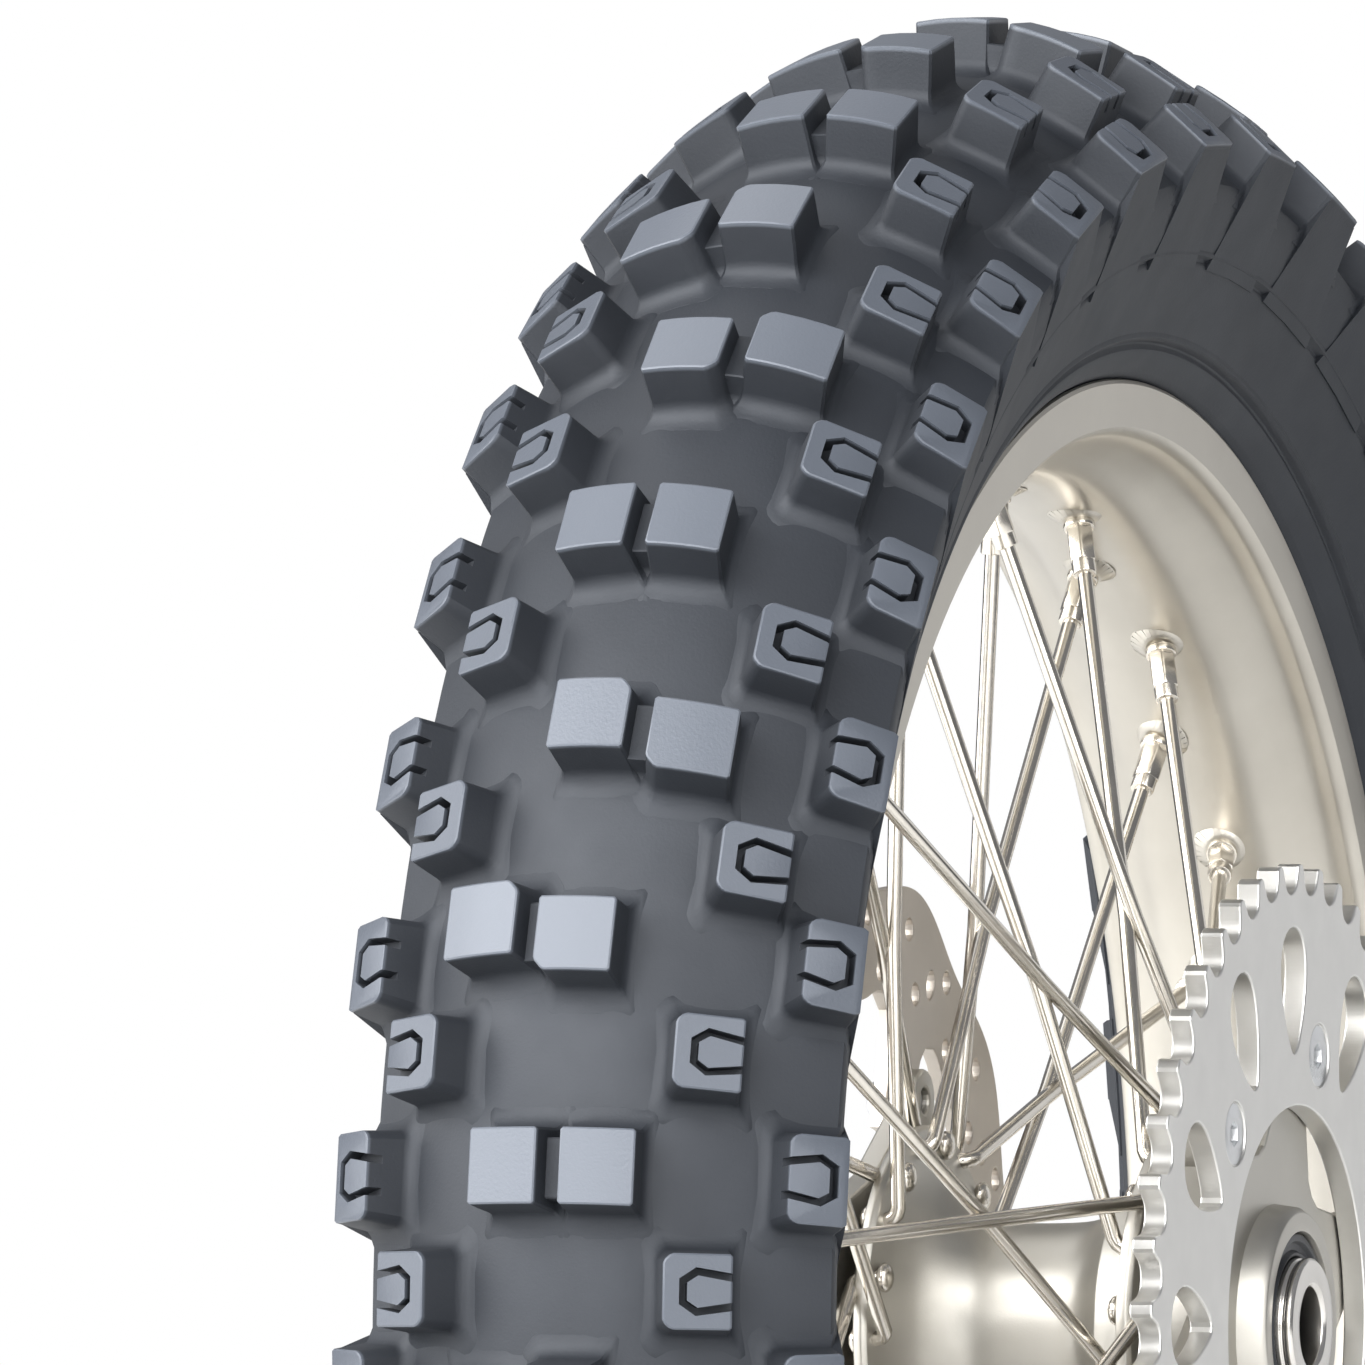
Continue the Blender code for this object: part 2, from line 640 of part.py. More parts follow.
# ---------------------------------------------------------------- spokes
def spoke_line(nipple_deg, lean, flange_y, side, face):
    """Hub end, crossing and rim end of one spoke; side is -1 on the drive side."""
    nipple = radians(nipple_deg)
    hub = radians(nipple_deg + lean * CROSS_DEG)
    half = radians(180.0 * 2 / SPOKES)
    rim_r = WELL_RADIUS - RIM_WALL - 0.0012
    hub_y = flange_y - side * FLANGE_DISH * SPOKE_DISH
    rim_y = side * NIPPLE_OFFSET
    rim_across = rim_r * sin(half)
    hub_across = SPOKE_CIRCLE * sin(radians(CROSS_DEG) - half)
    share = hub_across / (rim_across + hub_across)
    cross_y = hub_y + (rim_y - hub_y) * share
    clear = SPOKE_FLANGE_THICK / 2 + SPOKE_RADIUS + SPOKE_SPACE
    start = polar(SPOKE_CIRCLE, hub, hub_y + face * side * clear)
    end = polar(rim_r, nipple, rim_y)
    middle = start.lerp(end, share)
    middle.y = cross_y + face * side * CROSS_SPACE / 2
    return start, middle, end


def spoke_solid(name, start, middle, end):
    """Two straight lengths with a slight bend where the spokes touch, and the nipple."""
    bm = bmesh.new()
    stations = [(start, SPOKE_RADIUS), (middle, SPOKE_RADIUS)]
    down = (middle - end).normalized()
    neck = end + down * NIPPLE_LENGTH
    stations += [(neck, SPOKE_RADIUS), (neck - down * 0.0005, NIPPLE_RADIUS), (end, NIPPLE_RADIUS)]
    rings = []
    axis = (end - start).normalized()
    side = axis.cross(Vector((0, 1, 0))).normalized()
    across = axis.cross(side)
    for centre, size in stations:
        rings.append([bm.verts.new(centre + (side * cos(tau * i / 6) + across * sin(tau * i / 6)) * size)
                      for i in range(6)])
    for low, high in zip(rings, rings[1:]):
        for i in range(6):
            j = (i + 1) % 6
            bm.faces.new((low[i], low[j], high[j], high[i]))
    bm.faces.new(rings[0])
    bm.faces.new(rings[-1][::-1])
    return finish(name, bm, polished_steel())


def build_spokes():
    """Each node is the two spokes that lie on each other where they cross."""
    pairs = SPOKES // 4
    step = 360.0 / SPOKES
    for name, side, flange_y, first in (("drive", -1, DRIVE_FLANGE_Y, 0.0),
                                        ("brake", 1, BRAKE_FLANGE_Y, step)):
        for k in range(pairs):
            base = SPOKE_PHASE_DEG + first + 360.0 / pairs * k
            outer = spoke_line(base, 1, flange_y, side, 1)
            inner = spoke_line(base + 2 * step, -1, flange_y, side, -1)
            pair = spoke_solid("spokes_%s_%d" % (name, k + 1), *outer)
            other = spoke_solid("spoke_cutter_%s_%d" % (name, k + 1), *inner)
            cut(pair, other, "UNION")


# ---------------------------------------------------------------- hub
def spoke_flange(flange_y, side):
    """Outer face, rim and inner face of a dished spoke flange, as (y, radius)."""
    half = SPOKE_FLANGE_THICK / 2
    tip = flange_y - side * FLANGE_DISH
    root = SPOKE_FLANGE - FLANGE_WIDTH
    return [(flange_y + side * half, root), (tip + side * half, SPOKE_FLANGE),
            (tip - side * half, SPOKE_FLANGE), (flange_y - side * (half + 0.0005), root)]


def bolt_angles(count, first_deg):
    return [radians(first_deg + 360.0 / count * i) for i in range(count)]


def eared_plate(name, angles, circle, ear, valley, bore, y0, y1):
    """A plate with one rounded ear for each bolt."""
    half = pi / len(angles)
    shape = [(-1.0, valley), (-0.42, circle - ear), (-0.30, circle + ear * 0.2),
             (-0.13, circle + ear), (0.13, circle + ear), (0.30, circle + ear * 0.2),
             (0.42, circle - ear)]
    spread = ear / circle / 0.30 / half
    outer = []
    for a in angles:
        for share, r in shape:
            outer.append((r, a + half * (share if share == -1.0 else share * spread)))
    hole = [(bore, tau * i / HUB_STEPS) for i in range(HUB_STEPS)]
    return finish(name, extrude_outlines(outer, [hole], y0, y1), satin_aluminium())


def bolt_cutter(name, angles, circle, sides, stations):
    """One cutter for a ring of bolt holes; stations are (y, radius) down the hole."""
    bm = bmesh.new()
    for a in angles:
        for (y0, r0), (y1, r1) in stations:
            prism(bm, polar(circle, a, y0), polar(circle, a, y1), r0, sides, r1)
    return finish(name, bm, satin_aluminium())


def straight_cutter(name, angles, circle, bolt, y0, y1):
    """Cutter for a ring of plain holes through a plate between y0 and y1."""
    past = CUT_PAST / 2
    return bolt_cutter(name, angles, circle, 10, [((y0 - past, bolt + GAP), (y1 + past, bolt + GAP))])


def build_hub():
    seat = BEARING_OUTER + GAP
    half = BEARING_WIDTH / 2
    bore = AXLE_RADIUS + 0.0065
    drive_end = DRIVE_BEARING_Y - half - SEAL_WIDTH - 0.0015
    brake_end = BRAKE_BEARING_Y + half + SEAL_WIDTH + 0.0008
    boss = BEARING_OUTER + HUB_WALL
    outline = [(drive_end, boss - 0.001), (DRIVE_BEARING_Y - 0.003, boss + 0.001),
               (DRIVE_FLANGE_Y - 0.004, boss + 0.003)]
    outline += spoke_flange(DRIVE_FLANGE_Y, -1)
    outline += [(DRIVE_FLANGE_Y + 0.009, boss), (DRIVE_FLANGE_Y + 0.023, HUB_TUBE),
                (BRAKE_FLANGE_Y - 0.020, HUB_TUBE), (BRAKE_FLANGE_Y - 0.010, boss)]
    outline += spoke_flange(BRAKE_FLANGE_Y, 1)[::-1]
    outline += [(BRAKE_FLANGE_Y + 0.004, boss + 0.003), (brake_end, boss)]
    outline += [(brake_end, seat), (BRAKE_BEARING_Y - half - GAP, seat),
                (BRAKE_BEARING_Y - half - GAP, bore), (DRIVE_BEARING_Y + half + GAP, bore),
                (DRIVE_BEARING_Y + half + GAP, seat), (drive_end, seat)]
    hub = turned("hub", outline, HUB_STEPS, satin_aluminium())
    face = SPROCKET_FACE_Y + SPROCKET_THICK + GAP
    drive = bolt_angles(SPROCKET_BOLTS, SPROCKET_BOLT_DEG)
    carrier = eared_plate("sprocket_carrier", drive, SPROCKET_CIRCLE, 0.0090, 0.0440,
                          boss - 0.003, face, face + CARRIER_THICK)
    cut(hub, carrier, "UNION")
    inner_face = DISC_Y - DISC_THICK / 2 - GAP
    brake = bolt_angles(DISC_BOLTS, DISC_BOLT_DEG)
    pads = eared_plate("disc_carrier", brake, DISC_CIRCLE, 0.0080, 0.0400,
                       boss - 0.003, inner_face - PAD_THICK, inner_face)
    cut(hub, pads, "UNION")
    cut(hub, straight_cutter("hub_sprocket_holes", drive, SPROCKET_CIRCLE, BOLT_RADIUS,
                             face, face + CARRIER_THICK))
    cut(hub, straight_cutter("hub_disc_holes", brake, DISC_CIRCLE, DISC_BOLT_RADIUS,
                             inner_face - PAD_THICK, inner_face))


def build_bearings():
    inner = AXLE_RADIUS + RACE_WALL
    outer = BEARING_OUTER - RACE_WALL
    half = BEARING_WIDTH / 2
    for name, y in (("drive", DRIVE_BEARING_Y), ("brake", BRAKE_BEARING_Y)):
        y0 = y - half
        y1 = y + half
        ring = [(y0, BEARING_OUTER), (y1, BEARING_OUTER), (y1, outer), (y0, outer)]
        turned("bearing_outer_" + name, ring, HUB_STEPS, ground_steel())
        ring = [(y0, inner), (y1, inner), (y1, AXLE_RADIUS), (y0, AXLE_RADIUS)]
        turned("bearing_inner_" + name, ring, HUB_STEPS, ground_steel())
        build_balls("bearing_balls_" + name, y, (inner + outer) / 2, (outer - inner) / 2 - 2 * GAP)


def build_balls(name, y, circle, ball):
    """The balls and the cage that holds them, as one string of beads."""
    bm = bmesh.new()
    steps = BALLS * 4
    sides = 6
    rings = []
    for k in range(steps):
        angle = tau * k / steps
        size = ball if k % 4 == 0 else ball * (0.42 if k % 4 == 2 else 0.60)
        ring = []
        for i in range(sides):
            a = tau * i / sides
            ring.append(bm.verts.new(polar(circle + size * cos(a), angle, y + size * sin(a))))
        rings.append(ring)
    for k, low in enumerate(rings):
        high = rings[(k + 1) % steps]
        for i in range(sides):
            j = (i + 1) % sides
            bm.faces.new((low[i], low[j], high[j], high[i]))
    return finish(name, bm, ground_steel())


def build_axle_parts():
    """Distance tube, seals and the two collars, with the axle's bore through them."""
    half = BEARING_WIDTH / 2
    bore = AXLE_RADIUS
    y0 = DRIVE_BEARING_Y + half + GAP
    y1 = BRAKE_BEARING_Y - half - GAP
    tube = [(y0, bore), (y1, bore), (y1, bore + 0.0025), (y0, bore + 0.0025)]
    turned("distance_tube", tube, HUB_STEPS, ground_steel())
    lip = COLLAR_RADIUS + GAP
    for name, side, y, face in (("drive", -1, DRIVE_BEARING_Y, DRIVE_FACE_Y),
                                ("brake", 1, BRAKE_BEARING_Y, BRAKE_FACE_Y)):
        start = y + side * (half + GAP)
        end = start + side * SEAL_WIDTH
        ring = [(start, lip), (end, lip), (end, BEARING_OUTER), (start, BEARING_OUTER)]
        turned("seal_" + name, ring, HUB_STEPS, soft_rubber())
        collar = [(start, bore), (start, COLLAR_RADIUS), (face - side * 0.0008, COLLAR_RADIUS),
                  (face, COLLAR_RADIUS - 0.0008), (face, bore + 0.0006), (face - side * 0.0006, bore)]
        turned("collar_" + name, collar, HUB_STEPS, polished_steel())


# ---------------------------------------------------------------- sprocket
def tooth_root():
    return CHAIN_PITCH / (2 * sin(pi / TEETH)) - ROLLER_RADIUS


def tooth_outline():
    step = tau / TEETH
    root = tooth_root()
    points = []
    for i in range(TEETH):
        a = radians(TOOTH_PHASE_DEG) + step * i
        points += [(root, a - step * 0.14), (root, a + step * 0.14),
                   (root + TOOTH_HEIGHT, a + step * 0.40), (root + TOOTH_HEIGHT, a + step * 0.60)]
    return points


def window(angle):
    """A rounded drop, narrow towards the axle: (share of its height, half its angle) up one side."""
    low = SPROCKET_CIRCLE - 0.0010
    tall = tooth_root() - WINDOW_WALL - low
    edge = [(0.0, 0.0), (0.10, 0.045), (0.54, 0.105), (0.86, 0.115), (0.98, 0.070), (1.0, 0.0)]
    up = [(low + tall * share, angle + half) for share, half in edge]
    down = [(low + tall * share, angle - half) for share, half in edge[-2:0:-1]]
    return up + down


def build_sprocket():
    bolts = bolt_angles(SPROCKET_BOLTS, SPROCKET_BOLT_DEG)
    bore = [(SPROCKET_BORE, tau * i / 36) for i in range(36)]
    windows = []
    for a in bolts:
        windows += [window(a + radians(WINDOW_TURN_DEG)), window(a - radians(WINDOW_TURN_DEG))]
    y0 = SPROCKET_FACE_Y
    y1 = y0 + SPROCKET_THICK
    plate = extrude_outlines(tooth_outline(), [bore] + windows, y0, y1)
    sprocket = finish("sprocket", plate, machined_aluminium())
    sink = BOLT_HEAD - BOLT_RADIUS
    clear = BOLT_RADIUS + GAP
    drill = bolt_cutter("sprocket_holes", bolts, SPROCKET_CIRCLE, 12,
                        [((y0 - 0.001, clear), (y1 + 0.001, clear))])
    cut(sprocket, drill)
    cone = bolt_cutter("sprocket_sinks", bolts, SPROCKET_CIRCLE, 12,
                       [((y0 - 0.001, BOLT_HEAD + GAP + 0.001), (y0 + sink, clear))])
    cut(sprocket, cone)
    face = y1 + GAP
    back = face + CARRIER_THICK + GAP
    for k, a in enumerate(bolts):
        top = back + NUT_THICK
        build_bolt("sprocket_bolt_%d" % (k + 1), SPROCKET_CIRCLE, a, y0 + GAP, sink, top + BOLT_PAST_NUT)
        build_nut("sprocket_nut_%d" % (k + 1), SPROCKET_CIRCLE, a, back, top)


def build_bolt(name, circle, angle, y0, sink, y1):
    """Countersunk bolt with a hexagon socket in its head."""
    bm = bmesh.new()
    stations = [(y0, BOLT_HEAD), (y0 + sink, BOLT_RADIUS), (y1, BOLT_RADIUS)]
    rings = [[bm.verts.new(along_y(circle, angle, y, r, i, 12)) for i in range(12)]
             for y, r in stations]
    socket = [[bm.verts.new(along_y(circle, angle, y, SOCKET_RADIUS, i, 6)) for i in range(6)]
              for y in (y0, y0 + SOCKET_DEPTH)]
    for low, high in zip(rings, rings[1:]):
        for i in range(12):
            j = (i + 1) % 12
            bm.faces.new((low[i], low[j], high[j], high[i]))
    for i in range(6):
        j = (i + 1) % 6
        bm.faces.new((socket[0][i], socket[0][j], socket[1][j], socket[1][i]))
        a, b, c = (rings[0][(2 * i + n) % 12] for n in range(3))
        bm.faces.new((a, b, socket[0][i]))
        bm.faces.new((b, c, socket[0][j], socket[0][i]))
    bm.faces.new(rings[-1])
    bm.faces.new(socket[1])
    return finish(name, bm, polished_steel())


def along_y(circle, angle, y, radius, i, sides):
    """Point i of a ring about a line parallel to the axle."""
    turn = tau * i / sides
    middle = polar(circle, angle, y)
    return middle + Vector((radius * cos(turn), 0.0, radius * sin(turn)))


def build_nut(name, circle, angle, y0, y1):
    bm = bmesh.new()
    clear = around(6, BOLT_RADIUS + GAP)
    across = around(6, NUT_HALF)
    loops = []
    for y, r in ((y0, across), (y1, across), (y1, clear), (y0, clear)):
        loops.append([bm.verts.new(along_y(circle, angle, y, r, i, 6)) for i in range(6)])
    for low, high in zip(loops, loops[1:] + loops[:1]):
        for i in range(6):
            j = (i + 1) % 6
            bm.faces.new((low[i], low[j], high[j], high[i]))
    return finish(name, bm, polished_steel())


# ---------------------------------------------------------------- brake disc
def build_brake_disc():
    """Wave-edged disc: a drilled band on four arms."""
    steps = DISC_LOBES * 8
    outer = [(DISC_RADIUS + DISC_WAVE * cos(DISC_LOBES * tau * i / steps), tau * i / steps)
             for i in range(steps)]
    bolts = bolt_angles(DISC_BOLTS, DISC_BOLT_DEG)
    spacing = tau / DISC_BOLTS
    foot = 0.20
    waist = 0.15
    root = 0.17
    neck = DISC_CIRCLE + 0.006
    edge = DISC_BAND_INNER - 0.002
    inner = []
    for a in bolts:
        inner += [(DISC_INNER, a - foot), (DISC_INNER, a + foot), (neck, a + waist), (edge, a + root)]
        inner += [(DISC_BAND_INNER + 0.0015 * sin(i * pi / 2), a + root + (spacing - 2 * root) * i / 10)
                  for i in range(1, 10)]
        inner += [(edge, a + spacing - root), (neck, a + spacing - waist)]
    holes = [ring_at(DISC_CIRCLE, a, DISC_BOLT_RADIUS + GAP, 10) for a in bolts]
    for i in range(VENTS):
        share = VENT_SHARES[i % len(VENT_SHARES)]
        circle = DISC_BAND_INNER + (DISC_RADIUS - DISC_BAND_INNER) * share
        holes.append(ring_at(circle, tau * (i + 0.5) / VENTS, VENT_RADIUS, 6))
    y0 = DISC_Y - DISC_THICK / 2
    y1 = DISC_Y + DISC_THICK / 2
    finish("brake_disc", extrude_outlines(outer, [inner] + holes, y0, y1), ground_steel())
    for k, a in enumerate(bolts):
        name = "disc_bolt_%d" % (k + 1)
        build_button_bolt(name, a, y1 + GAP, y0 - PAD_THICK + 0.0005)


def build_button_bolt(name, angle, y_head, y_end):
    bm = bmesh.new()
    sides = 8
    stations = [(y_head + BUTTON_HEIGHT, BUTTON_RADIUS - 0.0020),
                (y_head + BUTTON_HEIGHT / 2, BUTTON_RADIUS - 0.0002), (y_head, BUTTON_RADIUS),
                (y_head, DISC_BOLT_RADIUS), (y_end, DISC_BOLT_RADIUS)]
    rings = [[bm.verts.new(along_y(DISC_CIRCLE, angle, y, r, i, sides)) for i in range(sides)]
             for y, r in stations]
    for low, high in zip(rings, rings[1:]):
        for i in range(sides):
            j = (i + 1) % sides
            bm.faces.new((low[i], low[j], high[j], high[i]))
    bm.faces.new(rings[0])
    bm.faces.new(rings[-1])
    return finish(name, bm, polished_steel())


def main():
    clear_scene()
    build_tire()
    build_bead_wires()
    build_inner_tube()
    build_rim()
    build_valve()
    build_rim_lock()
    build_spokes()
    build_hub()
    build_bearings()
    build_axle_parts()
    build_sprocket()
    build_brake_disc()


main()
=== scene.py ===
# %% [markdown]
# # An off-road motorcycle tire on its spoked wheel
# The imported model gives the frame: where every piece sits, and which body carries it.
# Every piece made here is drawn round the axle, which lies along Y, with the sprocket
# on the -Y side.  Lengths are in metres, so a helper turns millimetres into metres.

# %% Load the frame
from math import atan2, cos, hypot, pi, radians, sin, tan, tau

import bpy
import numpy as np
from mathutils import Matrix, Vector


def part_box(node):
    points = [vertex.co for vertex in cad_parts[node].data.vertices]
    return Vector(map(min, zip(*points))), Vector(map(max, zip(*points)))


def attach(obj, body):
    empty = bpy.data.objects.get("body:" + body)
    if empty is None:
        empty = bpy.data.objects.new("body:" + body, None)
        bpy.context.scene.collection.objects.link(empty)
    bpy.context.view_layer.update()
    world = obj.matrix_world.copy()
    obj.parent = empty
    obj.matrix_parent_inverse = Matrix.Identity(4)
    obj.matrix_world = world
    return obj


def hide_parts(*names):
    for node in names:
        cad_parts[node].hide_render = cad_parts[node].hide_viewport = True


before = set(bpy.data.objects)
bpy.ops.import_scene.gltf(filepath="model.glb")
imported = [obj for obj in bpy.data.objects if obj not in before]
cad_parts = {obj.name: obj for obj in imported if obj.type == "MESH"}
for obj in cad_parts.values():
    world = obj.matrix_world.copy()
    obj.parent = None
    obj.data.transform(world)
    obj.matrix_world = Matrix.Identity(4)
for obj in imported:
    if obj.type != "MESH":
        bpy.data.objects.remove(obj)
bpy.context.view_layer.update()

MM = 0.001

# %% Sizes read from the frame
tire_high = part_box("tire")[1]
rim_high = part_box("rim")[1]
disc_low, disc_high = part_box("brake_disc")
plate_low, plate_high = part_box("sprocket")
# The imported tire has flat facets, so its box is a little smaller than the arc they follow.
TIRE_RADIUS = round(tire_high[2], 3) + 0.001
FLANGE_RADIUS = round(rim_high[2], 4)
RIM_HALF = rim_high[1]
SPROCKET_Y = plate_low[1]
DISC_Y = (disc_low[1] + disc_high[1]) / 2
print("tire radius %.1f mm, rim flange %.1f mm" % (TIRE_RADIUS / MM, FLANGE_RADIUS / MM))

# %% [markdown]
# ## The camera, the floor and the light
# The wheel is seen from far away with a long lens, from the front and a little to the
# sprocket side, so its circles look like narrow ovals and lines hardly converge.  The
# camera stands at the height of the axle and looks up at the top left of the wheel.
# The floor is a plain sheet under the tire and the light comes from large soft boxes.

# %% Camera
CAMERA_PLACE = Vector((-5.737, -1.954, -0.003))
HEADING = radians(-72.01)
ROLL = radians(0.58)
LENS_MM = 632.3
TURN_LEFT = radians(1.542)
TURN_UP = radians(1.568)

ahead = Vector((-sin(HEADING), cos(HEADING), 0.0))
level = ahead.cross(Vector((0, 0, 1)))
right = level * cos(ROLL) + Vector((0, 0, 1)) * sin(ROLL)
upward = Vector((0, 0, 1)) * cos(ROLL) - level * sin(ROLL)
aim = ahead - right * tan(TURN_LEFT) + upward * tan(TURN_UP)
aim.normalize()
across = aim.cross(upward).normalized()
top = across.cross(aim)
lens = bpy.data.cameras.new("studio_camera")
lens.sensor_width = 36.0
lens.lens = LENS_MM
lens.clip_end = 60.0
camera = bpy.data.objects.new("studio_camera", lens)
bpy.context.scene.collection.objects.link(camera)
camera.matrix_world = Matrix((
    (across.x, top.x, -aim.x, CAMERA_PLACE.x),
    (across.y, top.y, -aim.y, CAMERA_PLACE.y),
    (across.z, top.z, -aim.z, CAMERA_PLACE.z),
    (0, 0, 0, 1)))
bpy.context.scene.camera = camera
print("lens %.0f mm, looking along (%.3f, %.3f, %.3f)" % (lens.lens, *aim))

# %% [markdown]
# A colour written as hex is what a screen shows, while a shader wants linear light, so
# one function turns the first into the second.  A second function adds a node, fills in
# its settings and joins its inputs, and every material below is made with the two.

# %% Colour and node helpers
def linear(hex_colour):
    """The linear (r, g, b, 1) of an sRGB colour such as '#aabbcc'."""
    parts = [int(hex_colour[i:i + 2], 16) / 255 for i in (1, 3, 5)]
    return (*[c / 12.92 if c <= 0.04045 else ((c + 0.055) / 1.055) ** 2.4 for c in parts], 1.0)


def add(tree, kind, settings=None, inputs=None):
    """Add a node; settings are its properties, inputs are values or sockets to link."""
    made = tree.nodes.new(kind)
    for key, value in (settings or {}).items():
        setattr(made, key, value)
    for key, value in (inputs or {}).items():
        if isinstance(value, bpy.types.NodeSocket):
            tree.links.new(value, made.inputs[key])
        else:
            made.inputs[key].default_value = value
    return made


def deselect():
    if bpy.context.object and bpy.context.object.mode != "OBJECT":
        bpy.ops.object.mode_set(mode="OBJECT")
    bpy.ops.object.select_all(action="DESELECT")


# %% Floor and studio light
FLOOR_HALF = 4.0
deselect()
bpy.ops.mesh.primitive_plane_add(size=2 * FLOOR_HALF, location=(0, 0, -TIRE_RADIUS - 0.0005))
floor = bpy.context.object
floor.name = "studio_floor"
paper = bpy.data.materials.new("white_paper_sweep")
paper.use_nodes = True
tree = paper.node_tree
fibres = add(tree, "ShaderNodeTexNoise", inputs={"Scale": 60.0, "Detail": 4.0})
shader = tree.nodes["Principled BSDF"]
shader.inputs["Roughness"].default_value = 0.9
tint = add(tree, "ShaderNodeMix", {"data_type": "RGBA"},
           {0: fibres.outputs["Fac"], 6: linear("#e9e9e8"), 7: linear("#efefee")})
tree.links.new(tint.outputs[2], shader.inputs["Base Color"])
floor.data.materials.append(paper)

world = bpy.data.worlds.new("studio")
bpy.context.scene.world = world
world.use_nodes = True
tree = world.node_tree
tree.nodes.clear()
direction = add(tree, "ShaderNodeTexCoord")
height = add(tree, "ShaderNodeSeparateXYZ", inputs={0: direction.outputs["Generated"]})
share = add(tree, "ShaderNodeMapRange", inputs={0: height.outputs["Z"], 1: -1.0, 2: 1.0})
glow = add(tree, "ShaderNodeValToRGB", inputs={0: share.outputs[0]})
glow.color_ramp.elements[0].position = 0.38
glow.color_ramp.elements[0].color = (0.04, 0.04, 0.045, 1)
glow.color_ramp.elements[1].position = 0.62
glow.color_ramp.elements[1].color = (0.26, 0.265, 0.28, 1)
path = add(tree, "ShaderNodeLightPath")
seen = add(tree, "ShaderNodeMix", {"data_type": "RGBA"},
           {0: path.outputs["Is Camera Ray"], 6: glow.outputs[0], 7: (1.0, 1.0, 1.0, 1.0)})
surface = add(tree, "ShaderNodeBackground", inputs={0: seen.outputs[2], 1: 1.0})
add(tree, "ShaderNodeOutputWorld", inputs={0: surface.outputs[0]})


def soft_box(name, towards, distance, width, tall, power):
    """A flat soft light standing in this direction from the wheel and facing it."""
    lamp = bpy.data.lights.new(name, "AREA")
    lamp.shape = "RECTANGLE"
    lamp.size = width
    lamp.size_y = tall
    lamp.energy = power
    holder = bpy.data.objects.new(name, lamp)
    bpy.context.scene.collection.objects.link(holder)
    place = Vector(towards).normalized() * distance
    holder.location = place
    holder.rotation_euler = (-place).to_track_quat("-Z", "Y").to_euler()


soft_box("block_light", (-0.80, 0.31, 0.46), 3.4, 5.6, 2.8, 460)
soft_box("sprocket_side_light", (-0.70, -0.72, 0.32), 3.4, 1.6, 2.4, 66)
soft_box("brake_side_light", (-0.25, 1.0, 0.30), 3.4, 2.0, 2.4, 66)
soft_box("overhead_light", (0.10, 0.34, 0.95), 3.2, 2.4, 2.0, 28)
soft_box("rear_light", (0.94, -0.45, 0.20), 3.6, 2.4, 2.4, 13)
bpy.context.scene.view_settings.view_transform = "Standard"
bpy.context.scene.view_settings.look = "None"

# %% [markdown]
# ## Materials
# Each one starts as the real stuff.  All of them read Object coordinates, which here are
# metres from the wheel's centre, so a pattern's size is set in millimetres: a Noise or
# Voronoi texture has about one blob for each unit of its Scale in a metre, so a blob of
# size s needs Scale 1/s.  Too fine a grain would vanish in the render, so it's drawn a
# little coarser than it is.

# %% Material helper
def new_surface(name, hex_colour, metallic, roughness):
    """A Principled material; returns its tree, its shader and the place on the piece."""
    look = bpy.data.materials.new(name)
    look.use_nodes = True
    tree = look.node_tree
    shader = tree.nodes["Principled BSDF"]
    shader.inputs["Base Color"].default_value = linear(hex_colour)
    shader.inputs["Metallic"].default_value = metallic
    shader.inputs["Roughness"].default_value = roughness
    place = add(tree, "ShaderNodeTexCoord").outputs["Object"]
    return look, tree, shader, place


def scale_for(size_mm):
    """Texture scale whose blobs measure this many millimetres."""
    return 1.0 / (size_mm * MM)


def tint_between(tree, shader, fac, dark, light):
    mix = add(tree, "ShaderNodeMix", {"data_type": "RGBA"}, {0: fac, 6: linear(dark), 7: linear(light)})
    tree.links.new(mix.outputs[2], shader.inputs["Base Color"])
    return mix.outputs[2]


def rough_between(tree, shader, fac, low, high):
    span = add(tree, "ShaderNodeMapRange", inputs={0: fac, 3: low, 4: high})
    tree.links.new(span.outputs[0], shader.inputs["Roughness"])
    return span.outputs[0]


def bump(tree, shader, height, depth_mm, strength=1.0):
    made = add(tree, "ShaderNodeBump", inputs={"Height": height, "Distance": depth_mm * MM, "Strength": strength})
    tree.links.new(made.outputs[0], shader.inputs["Normal"])


# %% [markdown]
# Tire rubber is vulcanised in a steel mould: the moulded skin is a dark slate with a satin
# face, cloudy from the release wax, and finely pitted by the mould's blasted face.
# The top of a block is polished where the mould closes on it and painted paler, a painted
# highlight, so the block's material measures how far a point lies below the crown's arc,
# and fades from the one finish to the other over the first millimetres.

# %% Tire rubber
CROWN_ARC = 0.067
TOP_DEEP = 0.6 * MM
SKIN_DEEP = 1.6 * MM


def below_crown(tree, place):
    """Nodes that give a point's depth below the arc of the block tops, in metres."""
    axes = add(tree, "ShaderNodeSeparateXYZ", inputs={0: place})
    flat = add(tree, "ShaderNodeCombineXYZ", inputs={0: axes.outputs["X"], 2: axes.outputs["Z"]})
    radius = add(tree, "ShaderNodeVectorMath", {"operation": "LENGTH"}, {0: flat.outputs[0]})
    square = add(tree, "ShaderNodeMath", {"operation": "MULTIPLY"},
                 {0: axes.outputs["Y"], 1: axes.outputs["Y"]})
    fall = add(tree, "ShaderNodeMath", {"operation": "MULTIPLY_ADD"},
               {0: square.outputs[0], 1: 0.5 / CROWN_ARC, 2: radius.outputs["Value"]})
    depth = add(tree, "ShaderNodeMath", {"operation": "SUBTRACT"}, {0: TIRE_RADIUS, 1: fall.outputs[0]})
    return depth.outputs[0]


